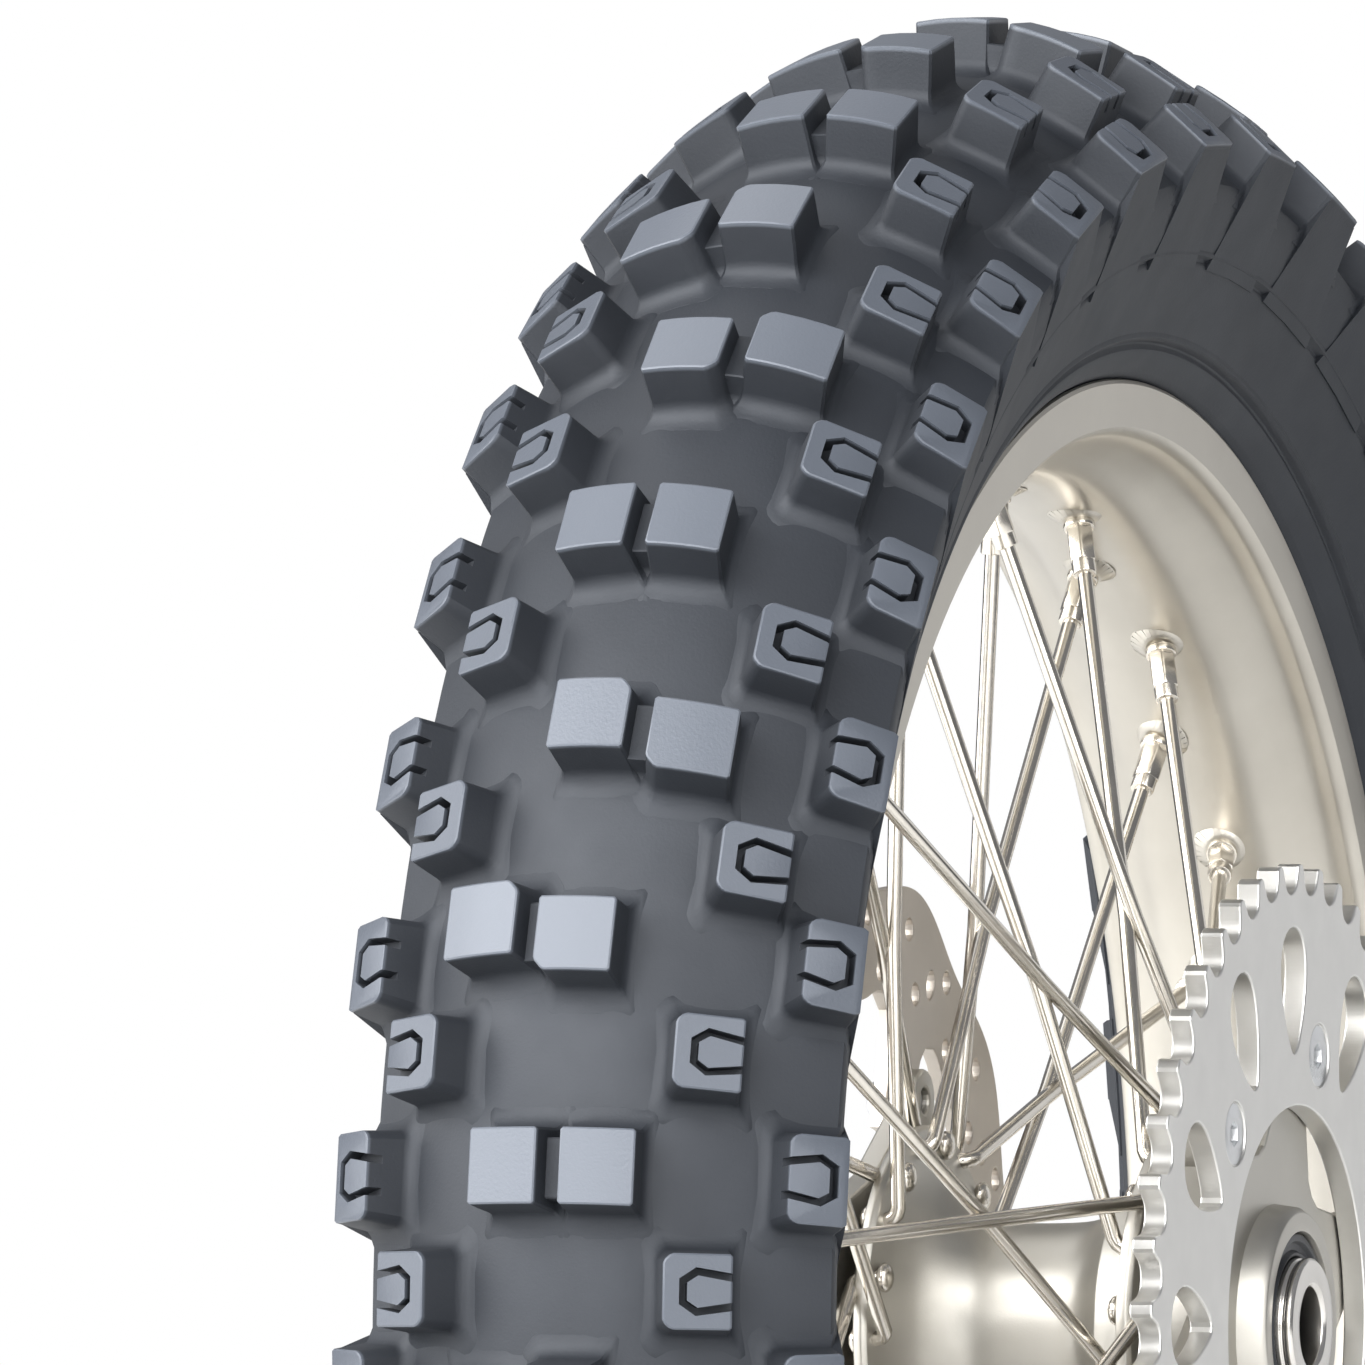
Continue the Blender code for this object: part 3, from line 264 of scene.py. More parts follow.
def moulded_rubber(name, dark, light, low, high, top=None):
    """Rubber whose colour and roughness wander; top is the (painted highlight colour, roughness) of block tops."""
    look, tree, shader, place = new_surface(name, dark, 0.0, low)
    clouds = add(tree, "ShaderNodeTexNoise", inputs={"Vector": place, "Scale": scale_for(35), "Detail": 5.0})
    skin = tint_between(tree, shader, clouds.outputs["Fac"], dark, light)
    patches = add(tree, "ShaderNodeTexNoise", inputs={"Vector": place, "Scale": scale_for(14), "Detail": 3.0})
    rough = rough_between(tree, shader, patches.outputs["Fac"], low, high)
    # Painted highlight: block tops get a paler colour than the skin, standing in for light reflected off them; only
    # their lower roughness is the mould's polish.
    if top:
        near = add(tree, "ShaderNodeMapRange", {"interpolation_type": "SMOOTHSTEP"},
                   {0: below_crown(tree, place), 1: SKIN_DEEP, 2: TOP_DEEP})
        tint = add(tree, "ShaderNodeMix", {"data_type": "RGBA"},
                   {0: near.outputs[0], 6: skin, 7: linear(top[0])})
        tree.links.new(tint.outputs[2], shader.inputs["Base Color"])
        shine = add(tree, "ShaderNodeMix", inputs={0: near.outputs[0], 2: rough, 3: top[1]})
        tree.links.new(shine.outputs[0], shader.inputs["Roughness"])
    pits = add(tree, "ShaderNodeTexNoise", inputs={"Vector": place, "Scale": scale_for(0.8), "Detail": 2.0})
    bump(tree, shader, pits.outputs["Fac"], 0.10, 0.5)
    shader.inputs["Specular IOR Level"].default_value = 0.45
    shader.inputs["Specular Tint"].default_value = linear("#edf1f8")
    return look


CARCASS_RUBBER = moulded_rubber("vulcanised_rubber_moulded", "#14161a", "#1e2126", 0.54, 0.68)
# Both block rubbers carry a painted highlight on their tops, painted lighter on the centre blocks than on the
# intermediate and shoulder blocks.
CENTRE_BLOCK_RUBBER_PAINTED_HIGHLIGHT = moulded_rubber("vulcanised_rubber_centre_painted_highlight", "#14161a", "#1e2126", 0.54, 0.68, top=("#4a4e55", 0.36))
EDGE_BLOCK_RUBBER_PAINTED_HIGHLIGHT = moulded_rubber("vulcanised_rubber_edge_painted_highlight", "#14161a", "#1e2126", 0.54, 0.68, top=("#41454c", 0.42))
TUBE_RUBBER = moulded_rubber("butyl_rubber_extruded", "#151516", "#1d1d1f", 0.50, 0.66)
SEAL_RUBBER = moulded_rubber("nitrile_rubber_moulded", "#17181a", "#222326", 0.34, 0.46)

# %% [markdown]
# The rim and hub are aluminium that was blasted with glass beads and anodised clear.
# Blasting leaves dimples a tenth of a millimetre wide, which scatter the light into a
# satin sheen; they are drawn three times coarser so that they still show.

# %% Aluminium
def blasted_aluminium(name, dark, light, low, high, grain_mm, depth_mm):
    look, tree, shader, place = new_surface(name, light, 1.0, low)
    clouds = add(tree, "ShaderNodeTexNoise", inputs={"Vector": place, "Scale": scale_for(25), "Detail": 4.0})
    tint_between(tree, shader, clouds.outputs["Fac"], dark, light)
    rough_between(tree, shader, clouds.outputs["Fac"], low, high)
    grain = add(tree, "ShaderNodeTexNoise", inputs={"Vector": place, "Scale": scale_for(grain_mm), "Detail": 2.0})
    bump(tree, shader, grain.outputs["Fac"], depth_mm, 0.4)
    return look


RIM_ALUMINIUM = blasted_aluminium("aluminium_blasted_anodised", "#aca79e", "#c1bdb4", 0.30, 0.42, 0.35, 0.02)
HUB_ALUMINIUM = blasted_aluminium("aluminium_cast_blasted", "#a9a69f", "#bfbcb5", 0.34, 0.48, 0.6, 0.05)


def turning_lines(tree, place, pitch_mm):
    """Rings round the axle, as a lathe's tool leaves on a turned face."""
    axes = add(tree, "ShaderNodeSeparateXYZ", inputs={0: place})
    flat = add(tree, "ShaderNodeCombineXYZ", inputs={0: axes.outputs["X"], 2: axes.outputs["Z"]})
    radius = add(tree, "ShaderNodeVectorMath", {"operation": "LENGTH"}, {0: flat.outputs[0]})
    lines = add(tree, "ShaderNodeMath", {"operation": "MULTIPLY"},
                {0: radius.outputs["Value"], 1: tau / (pitch_mm * MM)})
    wave = add(tree, "ShaderNodeMath", {"operation": "SINE"}, {0: lines.outputs[0]})
    return wave.outputs[0]


def turned_metal(name, dark, light, low, high, pitch_mm, depth_mm):
    look, tree, shader, place = new_surface(name, light, 1.0, low)
    stains = add(tree, "ShaderNodeTexNoise", inputs={"Vector": place, "Scale": scale_for(12), "Detail": 5.0})
    tint_between(tree, shader, stains.outputs["Fac"], dark, light)
    rough_between(tree, shader, stains.outputs["Fac"], low, high)
    bump(tree, shader, turning_lines(tree, place, pitch_mm), depth_mm, 0.5)
    return look


# %% [markdown]
# The sprocket is turned and milled from plate, the disc is ground stainless steel that
# the pads have rubbed in rings, and spokes are drawn stainless wire, polished, with
# hexagon nipples plated in nickel.  Bolts are zinc plated, so they're a touch bluish.

# %% Turned, ground and drawn metals
PLATE_ALUMINIUM = turned_metal("aluminium_turned_plate", "#c6c5c2", "#dad9d6", 0.30, 0.42, 0.9, 0.006)
DISC_STEEL = turned_metal("stainless_steel_ground", "#a39c94", "#b9b2a9", 0.34, 0.46, 0.7, 0.008)
COLLAR_STEEL = turned_metal("steel_turned_polished", "#c6c3be", "#dddad5", 0.16, 0.28, 0.5, 0.004)
SPOKE_STEEL = turned_metal("stainless_wire_drawn", "#bdb8b0", "#d8d3ca", 0.14, 0.24, 3.0, 0.002)
NIPPLE_NICKEL = turned_metal("nickel_plated_nipple", "#c9c2b6", "#e0dbd2", 0.16, 0.28, 2.0, 0.003)
BOLT_ZINC = turned_metal("zinc_plated_steel", "#b9bbbd", "#d5d6d7", 0.22, 0.36, 1.2, 0.004)
BEARING_STEEL = turned_metal("bearing_steel_ground", "#9c9a97", "#c2c0bc", 0.16, 0.28, 0.6, 0.003)
VALVE_BRASS = turned_metal("brass_turned", "#a8894f", "#c9ab6c", 0.22, 0.36, 0.8, 0.006)
WIRE_STEEL = turned_metal("bronze_coated_wire", "#8a6a42", "#a98657", 0.30, 0.44, 1.6, 0.02)
print(len(bpy.data.materials), "materials")

# %% [markdown]
# ## Shared ways of making a piece
# Most of a wheel is turned or cut from plate.  A turned piece is drawn as the outline of
# one side of its section and spun round the axle.  A plate is a flat curve with holes,
# which Blender fills, thickens and bevels by itself, made a mesh at the end.
# Each piece ends with its object at the origin and its place in its mesh.

# %% Finishing helpers
def give(piece, name, look, body="wheel", stands_for=()):
    """Name a finished piece, give it its material and say what it rides on."""
    piece.name = name
    piece.data.name = name
    piece.data.materials.clear()
    piece.data.materials.append(look)
    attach(piece, body)
    if stands_for:
        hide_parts(*stands_for)
    return piece


def put_in_mesh(piece):
    """Move a piece's place from its object into its mesh."""
    bpy.context.view_layer.update()
    piece.data.transform(piece.matrix_world)
    piece.matrix_world = Matrix.Identity(4)


def smooth(piece, angle=32):
    deselect()
    piece.select_set(True)
    bpy.context.view_layer.objects.active = piece
    bpy.ops.object.shade_smooth_by_angle(angle=radians(angle))


def apply_bevel(piece, width, segments=2, angle=30):
    """Round the sharp edges, as a file or a tumbler would."""
    deselect()
    bpy.context.view_layer.objects.active = piece
    piece.select_set(True)
    edge = piece.modifiers.new("edge", "BEVEL")
    edge.width = width
    edge.segments = segments
    edge.limit_method = "ANGLE"
    edge.angle_limit = radians(angle)
    edge.use_clamp_overlap = True
    bpy.ops.object.modifier_apply(modifier=edge.name)


def joined(copies, name):
    """Join copies into one object."""
    deselect()
    for piece in copies:
        piece.select_set(True)
    bpy.context.view_layer.objects.active = copies[0]
    bpy.ops.object.join()
    copies[0].name = name
    return copies[0]


def round_curve(points, per_span=6):
    """A smooth line through (y, radius) points, as a bent spline would lie."""
    ends = [points[0]] + list(points) + [points[-1]]
    line = []
    for i in range(1, len(ends) - 2):
        a, b, c, d = (np.array(p) for p in ends[i - 1:i + 3])
        for k in range(per_span):
            t = k / per_span
            line.append(tuple(0.5 * (2 * b + (c - a) * t + (2 * a - 5 * b + 4 * c - d) * t ** 2
                                     + (3 * b - a - 3 * c + d) * t ** 3)))
    return line + [tuple(points[-1])]


def turned(outline, steps, bevel=0.0004):
    """Spin a closed (y, radius) outline round the axle."""
    deselect()
    bpy.ops.mesh.primitive_circle_add(vertices=len(outline), fill_type="NOTHING")
    piece = bpy.context.object
    for vert, (y, radius) in zip(piece.data.vertices, outline):
        vert.co = (-radius, y, 0.0)
    bpy.ops.object.mode_set(mode="EDIT")
    bpy.ops.mesh.select_all(action="SELECT")
    bpy.ops.mesh.spin(steps=steps, angle=tau, center=(0, 0, 0), axis=(0, 1, 0))
    bpy.ops.mesh.select_all(action="SELECT")
    bpy.ops.mesh.remove_doubles(threshold=0.00001)
    bpy.ops.mesh.normals_make_consistent(inside=False)
    bpy.ops.object.mode_set(mode="OBJECT")
    if bevel:
        apply_bevel(piece, bevel)
    smooth(piece)
    return piece


def cut_away(piece, tool):
    """Take the tool's shape out of the piece, and the tool away."""
    deselect()
    piece.select_set(True)
    bpy.context.view_layer.objects.active = piece
    cut = piece.modifiers.new("cut", "BOOLEAN")
    cut.operation = "DIFFERENCE"
    cut.solver = "EXACT"
    cut.object = tool
    bpy.ops.object.modifier_apply(modifier=cut.name)
    bpy.data.objects.remove(tool)


def polar(radius, angle, y=0.0):
    """A point round the axle; angle 0 is the front (-X) and a quarter turn is the top."""
    return Vector((-radius * cos(angle), y, radius * sin(angle)))


def plate(outlines, y_middle, thick, bevel=0.0004):
    """A flat plate across the axle from (radius, angle) outlines: the first outside, the rest holes."""
    deselect()
    sheet = bpy.data.curves.new("plate", "CURVE")
    sheet.dimensions = "2D"
    sheet.fill_mode = "BOTH"
    sheet.extrude = thick / 2 - bevel
    sheet.bevel_depth = bevel
    sheet.bevel_resolution = 1
    sheet.offset = -bevel
    for outline in outlines:
        line = sheet.splines.new("POLY")
        line.points.add(len(outline) - 1)
        line.use_cyclic_u = True
        for point, (radius, angle) in zip(line.points, outline):
            point.co = (-radius * cos(angle), radius * sin(angle), 0.0, 1.0)
    piece = bpy.data.objects.new("plate", sheet)
    bpy.context.scene.collection.objects.link(piece)
    piece.select_set(True)
    bpy.context.view_layer.objects.active = piece
    bpy.ops.object.convert(target="MESH")
    piece = bpy.context.object
    bpy.ops.object.mode_set(mode="EDIT")
    bpy.ops.mesh.select_all(action="SELECT")
    bpy.ops.mesh.remove_doubles(threshold=0.00001)
    bpy.ops.mesh.normals_make_consistent(inside=False)
    bpy.ops.object.mode_set(mode="OBJECT")
    piece.data.transform(Matrix.Translation((0, y_middle, 0)) @ Matrix.Rotation(pi / 2, 4, "X"))
    smooth(piece, 20)
    return piece


def circle_at(radius, angle, size, sides, stretch=1.0):
    """A hole's outline as (radius, angle) points; stretch lengthens it away from the axle."""
    points = []
    for i in range(sides):
        out = size * stretch * cos(tau * i / sides)
        side = size * sin(tau * i / sides)
        points.append((hypot(radius + out, side), angle + atan2(side, radius + out)))
    return points


def copy_of(master, matrix):
    """A copy of a master piece with its own mesh, put in place."""
    twin = master.copy()
    twin.data = master.data.copy()
    bpy.context.scene.collection.objects.link(twin)
    twin.data.transform(matrix)
    if matrix.determinant() < 0:
        twin.data.flip_normals()
    return twin


def about_axle(angle):
    """Turn by this angle in the sense that polar() counts."""
    return Matrix.Rotation(angle, 4, "Y")


# %% [markdown]
# ## The tire's surface
# Everything on the tire grows out of the casing, so its surface comes first: one line
# from the middle of the tread, over the shoulder and down the sidewall to the bead.
# The crown is an arc across the tire; the sidewall is a smooth line through a few points.
# A place on the tire is then how far along that line it is, and where round the wheel.

# %% The casing line
KNOB_HEIGHT = 0.0145
SHOULDER = 0.0672
SECTION = TIRE_RADIUS - FLANGE_RADIUS


def knob_height(u):
    """Blocks get a little lower towards the shoulders."""
    return KNOB_HEIGHT * (1.0 - 0.17 * (u / 0.066) ** 2)


def crown(u, depth):
    slope = u / CROWN_ARC
    length = hypot(slope, 1.0)
    return (u - depth * slope / length, TIRE_RADIUS - u * u / (2 * CROWN_ARC) - depth / length)


crown_line = [crown(u, knob_height(u)) for u in np.linspace(0.0, SHOULDER, 29)]
side_points = [crown_line[-4], crown_line[-1],
               (0.0563, FLANGE_RADIUS + 0.42 * SECTION), (0.0527, FLANGE_RADIUS + 0.33 * SECTION),
               (0.0482, FLANGE_RADIUS + 0.22 * SECTION), (0.0440, FLANGE_RADIUS + 0.12 * SECTION),
               (0.0412, FLANGE_RADIUS + 0.060 * SECTION), (RIM_HALF + 0.0006, FLANGE_RADIUS + 0.0016)]
side_line = round_curve(side_points, 12)[12:]
CASING = np.array(crown_line + side_line[1:])
run = np.concatenate([[0.0], np.cumsum(np.hypot(*np.diff(CASING[len(crown_line) - 1:], axis=0).T))])
CASING_T = np.concatenate([np.linspace(0.0, SHOULDER, 29), SHOULDER + run[1:]])
ahead_line = np.gradient(CASING, axis=0)
NORMALS = np.stack([-ahead_line[:, 1], ahead_line[:, 0]], axis=1)
NORMALS /= np.linalg.norm(NORMALS, axis=1)[:, None]
NORMALS[:, :] = np.where((NORMALS[:, :1] * CASING[:, :1] + NORMALS[:, 1:]) < -0.2, -NORMALS, NORMALS)
SIDE_LENGTH = float(run[-1])
print("sidewall line is %.1f mm long" % (SIDE_LENGTH / MM))


def on_tire(t, angle, height):
    """World places of points at casing position t (minus is the sprocket side)."""
    side = np.sign(t) + (t == 0)
    reach = np.abs(t)
    y = np.interp(reach, CASING_T, CASING[:, 0])
    r = np.interp(reach, CASING_T, CASING[:, 1])
    ny = np.interp(reach, CASING_T, NORMALS[:, 0])
    nr = np.interp(reach, CASING_T, NORMALS[:, 1])
    grow = height * knob_height(np.minimum(reach, SHOULDER)) / KNOB_HEIGHT
    y = (y + ny * grow) * side
    r = r + nr * grow
    return np.stack([-r * np.cos(angle), y, r * np.sin(angle)], axis=1)


def wrap(master, middle, angle, flip=False, turn=False):
    """A copy of a flat block, bent onto the casing at this place."""
    twin = master.copy()
    twin.data = master.data.copy()
    bpy.context.scene.collection.objects.link(twin)
    flat = np.empty(len(twin.data.vertices) * 3)
    twin.data.vertices.foreach_get("co", flat)
    flat = flat.reshape(-1, 3)
    sideways = flat[:, 0] * (-1 if flip else 1)
    along = flat[:, 1] * (-1 if turn else 1)
    reach = np.abs(middle + sideways)
    radius = np.interp(reach, CASING_T, CASING[:, 1]) + KNOB_HEIGHT / 2
    bent = on_tire(middle + sideways, angle + along / radius, flat[:, 2])
    twin.data.vertices.foreach_set("co", bent.ravel())
    if flip != turn:
        twin.data.flip_normals()
    return twin


# %% [markdown]
# ## The carcass
# The carcass is a turned shape: the casing line outside, beads that clamp on the rim, and
# the liner inside.  Round lines are added to the sidewall the way a mould has them:
# a ridge that guards the rim, and thin lines that frame the band below the shoulder.

# %% Carcass
def sidewall_relief(radius):
    """Height of the moulded rings at this radius."""
    rings = [(FLANGE_RADIUS + 0.0085, 0.0012, 0.0012), (FLANGE_RADIUS + 0.0108, 0.0008, -0.0006),
             (FLANGE_RADIUS + 0.0300, 0.0009, 0.0008), (FLANGE_RADIUS + 0.0318, 0.0007, -0.0006)]
    return sum(rise * max(0.0, 1.0 - ((radius - at) / half) ** 2) for at, half, rise in rings)


CARCASS_STEPS = 180
fine_t = np.concatenate([np.linspace(0.0, SHOULDER, 25), SHOULDER + np.linspace(0.0, SIDE_LENGTH, 100)[1:]])
outside = []
for t in fine_t:
    y, r, ny, nr = (float(np.interp(t, CASING_T, col)) for col in (*CASING.T, *NORMALS.T))
    rise = sidewall_relief(r) if t > SHOULDER else 0.0
    outside.append((y + ny * rise, r + nr * rise))
bead_side = RIM_HALF - 0.0033
bead_toe = bead_side - 0.0105
seat = 0.2290
inside = [(bead_side, FLANGE_RADIUS - 0.0006), (bead_side, seat + 0.001), (bead_side - 0.001, seat),
          (bead_toe, seat), (bead_toe + 0.001, seat + 0.009)]
liner = round_curve([(0.0308, FLANGE_RADIUS + 0.0085), (0.0390, FLANGE_RADIUS + 0.0172),
                     (0.0468, FLANGE_RADIUS + 0.0315), (0.0443, FLANGE_RADIUS + 0.0465),
                     (0.0330, 0.2968), (0.0160, 0.3066), (0.0, 0.3098)], 5)
half_section = outside + inside + liner
section = half_section + [(-y, r) for y, r in reversed(half_section) if abs(y) > 1e-6]
carcass = turned(section, CARCASS_STEPS, bevel=0)
give(carcass, "tire_carcass", CARCASS_RUBBER, stands_for=("tire",))
print("carcass:", len(carcass.data.polygons), "faces")

# %% [markdown]
# ## Tread blocks
# A block starts as a flat plane the size of its top.  Its corners are cut with a vertex
# bevel, a small inset rounds the top edge, and the rim of the plane is then extruded
# down in steps: first the straight drafted wall, then a quarter circle that flares out
# into the casing, so the foot looks moulded and not glued on.  Bending comes last, so
# the top is first bisected into strips that can follow the crown.

# %% Block maker
def pull_down(drop, wide, far, grow_wide, grow_far):
    """Extrude the selected rim down, and grow it sideways and along."""
    bpy.ops.mesh.extrude_edges_move(TRANSFORM_OT_translate={"value": (0, 0, -drop)})
    bpy.ops.transform.resize(value=((wide + grow_wide) / wide, (far + grow_far) / far, 1.0),
                             center_override=(0, 0, 0))


def block_master(name, wide, far, height, cuts=(), draft=0.0012, foot_wide=0.0042, foot_far=0.0060, corner=0.0006):
    """A flat block: half width, half length and height; cuts are (x sign, y sign, size) corners."""
    deselect()
    bpy.ops.mesh.primitive_plane_add(size=2, location=(0, 0, height))
    block = bpy.context.object
    block.name = name
    put_in_mesh(block)
    bpy.ops.object.mode_set(mode="EDIT")
    bpy.ops.mesh.select_all(action="SELECT")
    bpy.ops.transform.resize(value=(wide, far, 1.0), center_override=(0, 0, 0))
    for x_sign, y_sign, size in cuts:
        pick(block, lambda co: co.x * x_sign > wide * 0.9 and co.y * y_sign > far * 0.9)
        bpy.ops.mesh.bevel(offset=size, affect="VERTICES", segments=1)
    if corner:
        bpy.ops.mesh.select_all(action="SELECT")
        bpy.ops.mesh.bevel(offset=corner, affect="VERTICES", segments=1)
    bpy.ops.mesh.select_mode(type="FACE")
    bpy.ops.mesh.select_all(action="SELECT")
    bpy.ops.mesh.inset(thickness=0.0004)
    bpy.ops.mesh.select_all(action="INVERT")
    bpy.ops.mesh.select_mode(type="EDGE")
    bpy.ops.mesh.select_all(action="DESELECT")
    bpy.ops.mesh.select_non_manifold(extend=False, use_wire=False, use_boundary=True, use_multi_face=False,
                                     use_non_contiguous=False, use_verts=False)
    bpy.ops.transform.translate(value=(0, 0, -0.00025))
    wide_now, far_now = wide, far
    wall = height - 0.00025 - foot_wide
    for part in range(2):
        pull_down(wall / 2, wide_now, far_now, draft / 2, draft / 2)
        wide_now += draft / 2
        far_now += draft / 2
    steps = 5
    for k in range(steps):
        a0, a1 = (pi / 2 * n / steps for n in (k, k + 1))
        drop = foot_wide * (sin(a1) - sin(a0))
        grow_wide = foot_wide * (cos(a0) - cos(a1))
        grow_far = foot_far * (cos(a0) - cos(a1))
        pull_down(drop, wide_now, far_now, grow_wide, grow_far)
        wide_now += grow_wide
        far_now += grow_far
    pull_down(0.0012, wide_now, far_now, 0.0016, 0.0016)
    bpy.ops.object.mode_set(mode="OBJECT")
    return block


def pick(block, wanted):
    """Select the vertices whose place passes the test."""
    bpy.ops.object.mode_set(mode="OBJECT")
    for vert in block.data.vertices:
        vert.select = wanted(vert.co)
    for edge in block.data.edges:
        edge.select = False
    for face in block.data.polygons:
        face.select = False
    bpy.ops.object.mode_set(mode="EDIT")
    bpy.ops.mesh.select_mode(type="VERT")


def slice_top(block, places):
    """Cut the block into strips so that its top can bend."""
    deselect()
    bpy.context.view_layer.objects.active = block
    block.select_set(True)
    bpy.ops.object.mode_set(mode="EDIT")
    for x in places:
        bpy.ops.mesh.select_all(action="SELECT")
        bpy.ops.mesh.bisect(plane_co=(x, 0, 0), plane_no=(1, 0, 0))
    bpy.ops.object.mode_set(mode="OBJECT")


def carve(block, route, width, depth, height):
    """Cut a sipe: a thin blade that follows the route across the block's top."""
    path = bpy.data.curves.new("sipe", "CURVE")
    path.dimensions = "3D"
    path.extrude = depth
    line = path.splines.new("POLY")
    line.points.add(len(route) - 1)
    for point, (x, y) in zip(line.points, route):
        point.co = (x, y, height, 1.0)
    blade = bpy.data.objects.new("sipe_blade", path)
    bpy.context.scene.collection.objects.link(blade)
    deselect()
    blade.select_set(True)
    bpy.context.view_layer.objects.active = blade
    bpy.ops.object.convert(target="MESH")
    thick = blade.modifiers.new("thick", "SOLIDIFY")
    thick.thickness = width
    thick.offset = 0.0
    bpy.ops.object.modifier_apply(modifier=thick.name)
    cut_away(block, blade)


# %% [markdown]
# The tread repeats every six rows: straight pairs in the middle, then pairs stepped to
# one side and the other.  In a stepped pair one block leads and the other trails, and
# the corners that meet the next row are cut off.  Intermediate blocks stand between the
# rows, and shoulder blocks stand beside them.  Both carry a hexagonal sipe, a thin cut
# that lets the edge of the block flex.

# %% Where the rows are
ROWS = 36
ROW_SHIFT = (0, 1, -1, 0, -1, 1)
ROW_LEAD = (0, 1, 1, 0, -1, -1)
ROW_PULL_DEG = (0.0, 0.35, -0.40, 0.0, 0.35, -0.40)
TREAD_PHASE_DEG = 6.4
PAIR_SHIFT = 0.0110
PAIR_GAP = 0.0063
CENTRE_HALF = 0.0092
CENTRE_LONG = 0.0091
NICKED_HALF = 0.0100
MID_HALF = 0.0075
MID_LONG = 0.0090
MID_STAGGER_DEG = (0.0, 0.95, 0.0, 0.0, -0.95, 0.0)
SIDE_MIDDLE = 0.0603
SIDE_HALF = 0.0055
SIDE_LONG = 0.0108


def row_angle(row):
    return radians(TREAD_PHASE_DEG + 360.0 / ROWS * row + ROW_PULL_DEG[row % 6])


def mid_place(row, side):
    here, ahead = (ROW_SHIFT[r % 6] * side for r in (row, row + 1))
    return 0.0420 if here > 0 or ahead > 0 else 0.0365


# %% Centre blocks
strips = (-0.0046, 0.0, 0.0046)
plain = block_master("centre_plain", CENTRE_HALF, CENTRE_LONG, KNOB_HEIGHT)
slice_top(plain, strips)
nicked = block_master("centre_nicked", NICKED_HALF, CENTRE_LONG, KNOB_HEIGHT, cuts=((-1, 1, 0.0026),))
slice_top(nicked, strips)
bar = block_master("tie_bar", 0.0040, 0.0074, 0.0085, draft=0.0004, foot_wide=0.0030, foot_far=0.0050, corner=0.0)
copies = []
for row in range(ROWS):
    shift = ROW_SHIFT[row % 6] * PAIR_SHIFT
    lead = ROW_LEAD[row % 6]
    stagger = radians(0.39) * lead
    for side in (1, -1):
        block, half = (nicked, NICKED_HALF) if lead else (plain, CENTRE_HALF)
        middle = shift + side * (PAIR_GAP / 2 + half)
        copies.append(wrap(block, middle, row_angle(row) + side * stagger, flip=side < 0, turn=side * lead < 0))
    copies.append(wrap(bar, shift, row_angle(row)))
centre = joined(copies, "centre_blocks")
smooth(centre, 28)
give(centre, "centre_blocks", CENTRE_BLOCK_RUBBER_PAINTED_HIGHLIGHT, stands_for=("tire",))
print("centre blocks:", len(centre.data.polygons), "faces")

# %% Intermediate blocks
SIPE_WIDTH = 0.0020
mid = block_master("mid", MID_HALF, MID_LONG, KNOB_HEIGHT, cuts=((-1, 1, 0.0018), (-1, -1, 0.0018)))
carve(mid, [(0.0100, 0.0030), (0.0000, 0.0048), (-0.0030, 0.0026), (-0.0030, -0.0026), (0.0000, -0.0048),
            (0.0100, -0.0030)], SIPE_WIDTH, 0.0050, KNOB_HEIGHT)
copies = []
for row in range(ROWS):
    between = (row_angle(row) + row_angle(row + 1)) / 2
    for side in (1, -1):
        turn = radians(MID_STAGGER_DEG[row % 6]) * side
        copies.append(wrap(mid, side * mid_place(row, side), between + turn, flip=side < 0))
middles = joined(copies, "intermediate_blocks")
smooth(middles, 28)
give(middles, "intermediate_blocks", EDGE_BLOCK_RUBBER_PAINTED_HIGHLIGHT, stands_for=("tire",))
print("intermediate blocks:", len(middles.data.polygons), "faces")

# %% Shoulder blocks and the ribs below them
shoulder = block_master("shoulder", SIDE_HALF, SIDE_LONG, KNOB_HEIGHT, cuts=((-1, 1, 0.0016), (-1, -1, 0.0016)),
                        foot_wide=0.0036)
carve(shoulder, [(-0.0095, 0.0032), (0.0006, 0.0053), (0.0032, 0.0033), (0.0032, -0.0033), (0.0006, -0.0053),
                 (-0.0095, -0.0032)], SIPE_WIDTH, 0.0050, KNOB_HEIGHT)
# The rib's section: (across, away from the axle) at the foot and the top, inside and outside.
RIB_SECTION = {(-1, -1): (0.0490, 0.2680), (1, -1): (0.0524, 0.2668),
               (-1, 1): (0.0540, 0.2880), (1, 1): (0.0648, 0.2962)}
RIB_LONG = {-1: 0.0185, 1: 0.0106}


def rib_at(side, angle):
    """A wedge of rubber from the shoulder block's outer edge down into the sidewall."""
    deselect()
    bpy.ops.mesh.primitive_cube_add(size=2)
    piece = bpy.context.object
    bpy.ops.object.mode_set(mode="EDIT")
    bpy.ops.mesh.select_all(action="SELECT")
    bpy.ops.mesh.subdivide(number_cuts=1)
    bpy.ops.object.mode_set(mode="OBJECT")
    for vert in piece.data.vertices:
        across, along, up = vert.co
        parts = [(RIB_SECTION[(x, z)], (1 + across * x) * (1 + up * z) / 4) for x in (-1, 1) for z in (-1, 1)]
        y = sum(corner[0] * share for corner, share in parts)
        r = sum(corner[1] * share for corner, share in parts)
        half = (RIB_LONG[-1] * (1 - up) + RIB_LONG[1] * (1 + up)) / 2
        vert.co = polar(r, angle + along * half / r, side * y)
    bpy.ops.object.mode_set(mode="EDIT")
    bpy.ops.mesh.select_all(action="SELECT")
    bpy.ops.mesh.normals_make_consistent(inside=False)
    bpy.ops.object.mode_set(mode="OBJECT")
    return piece


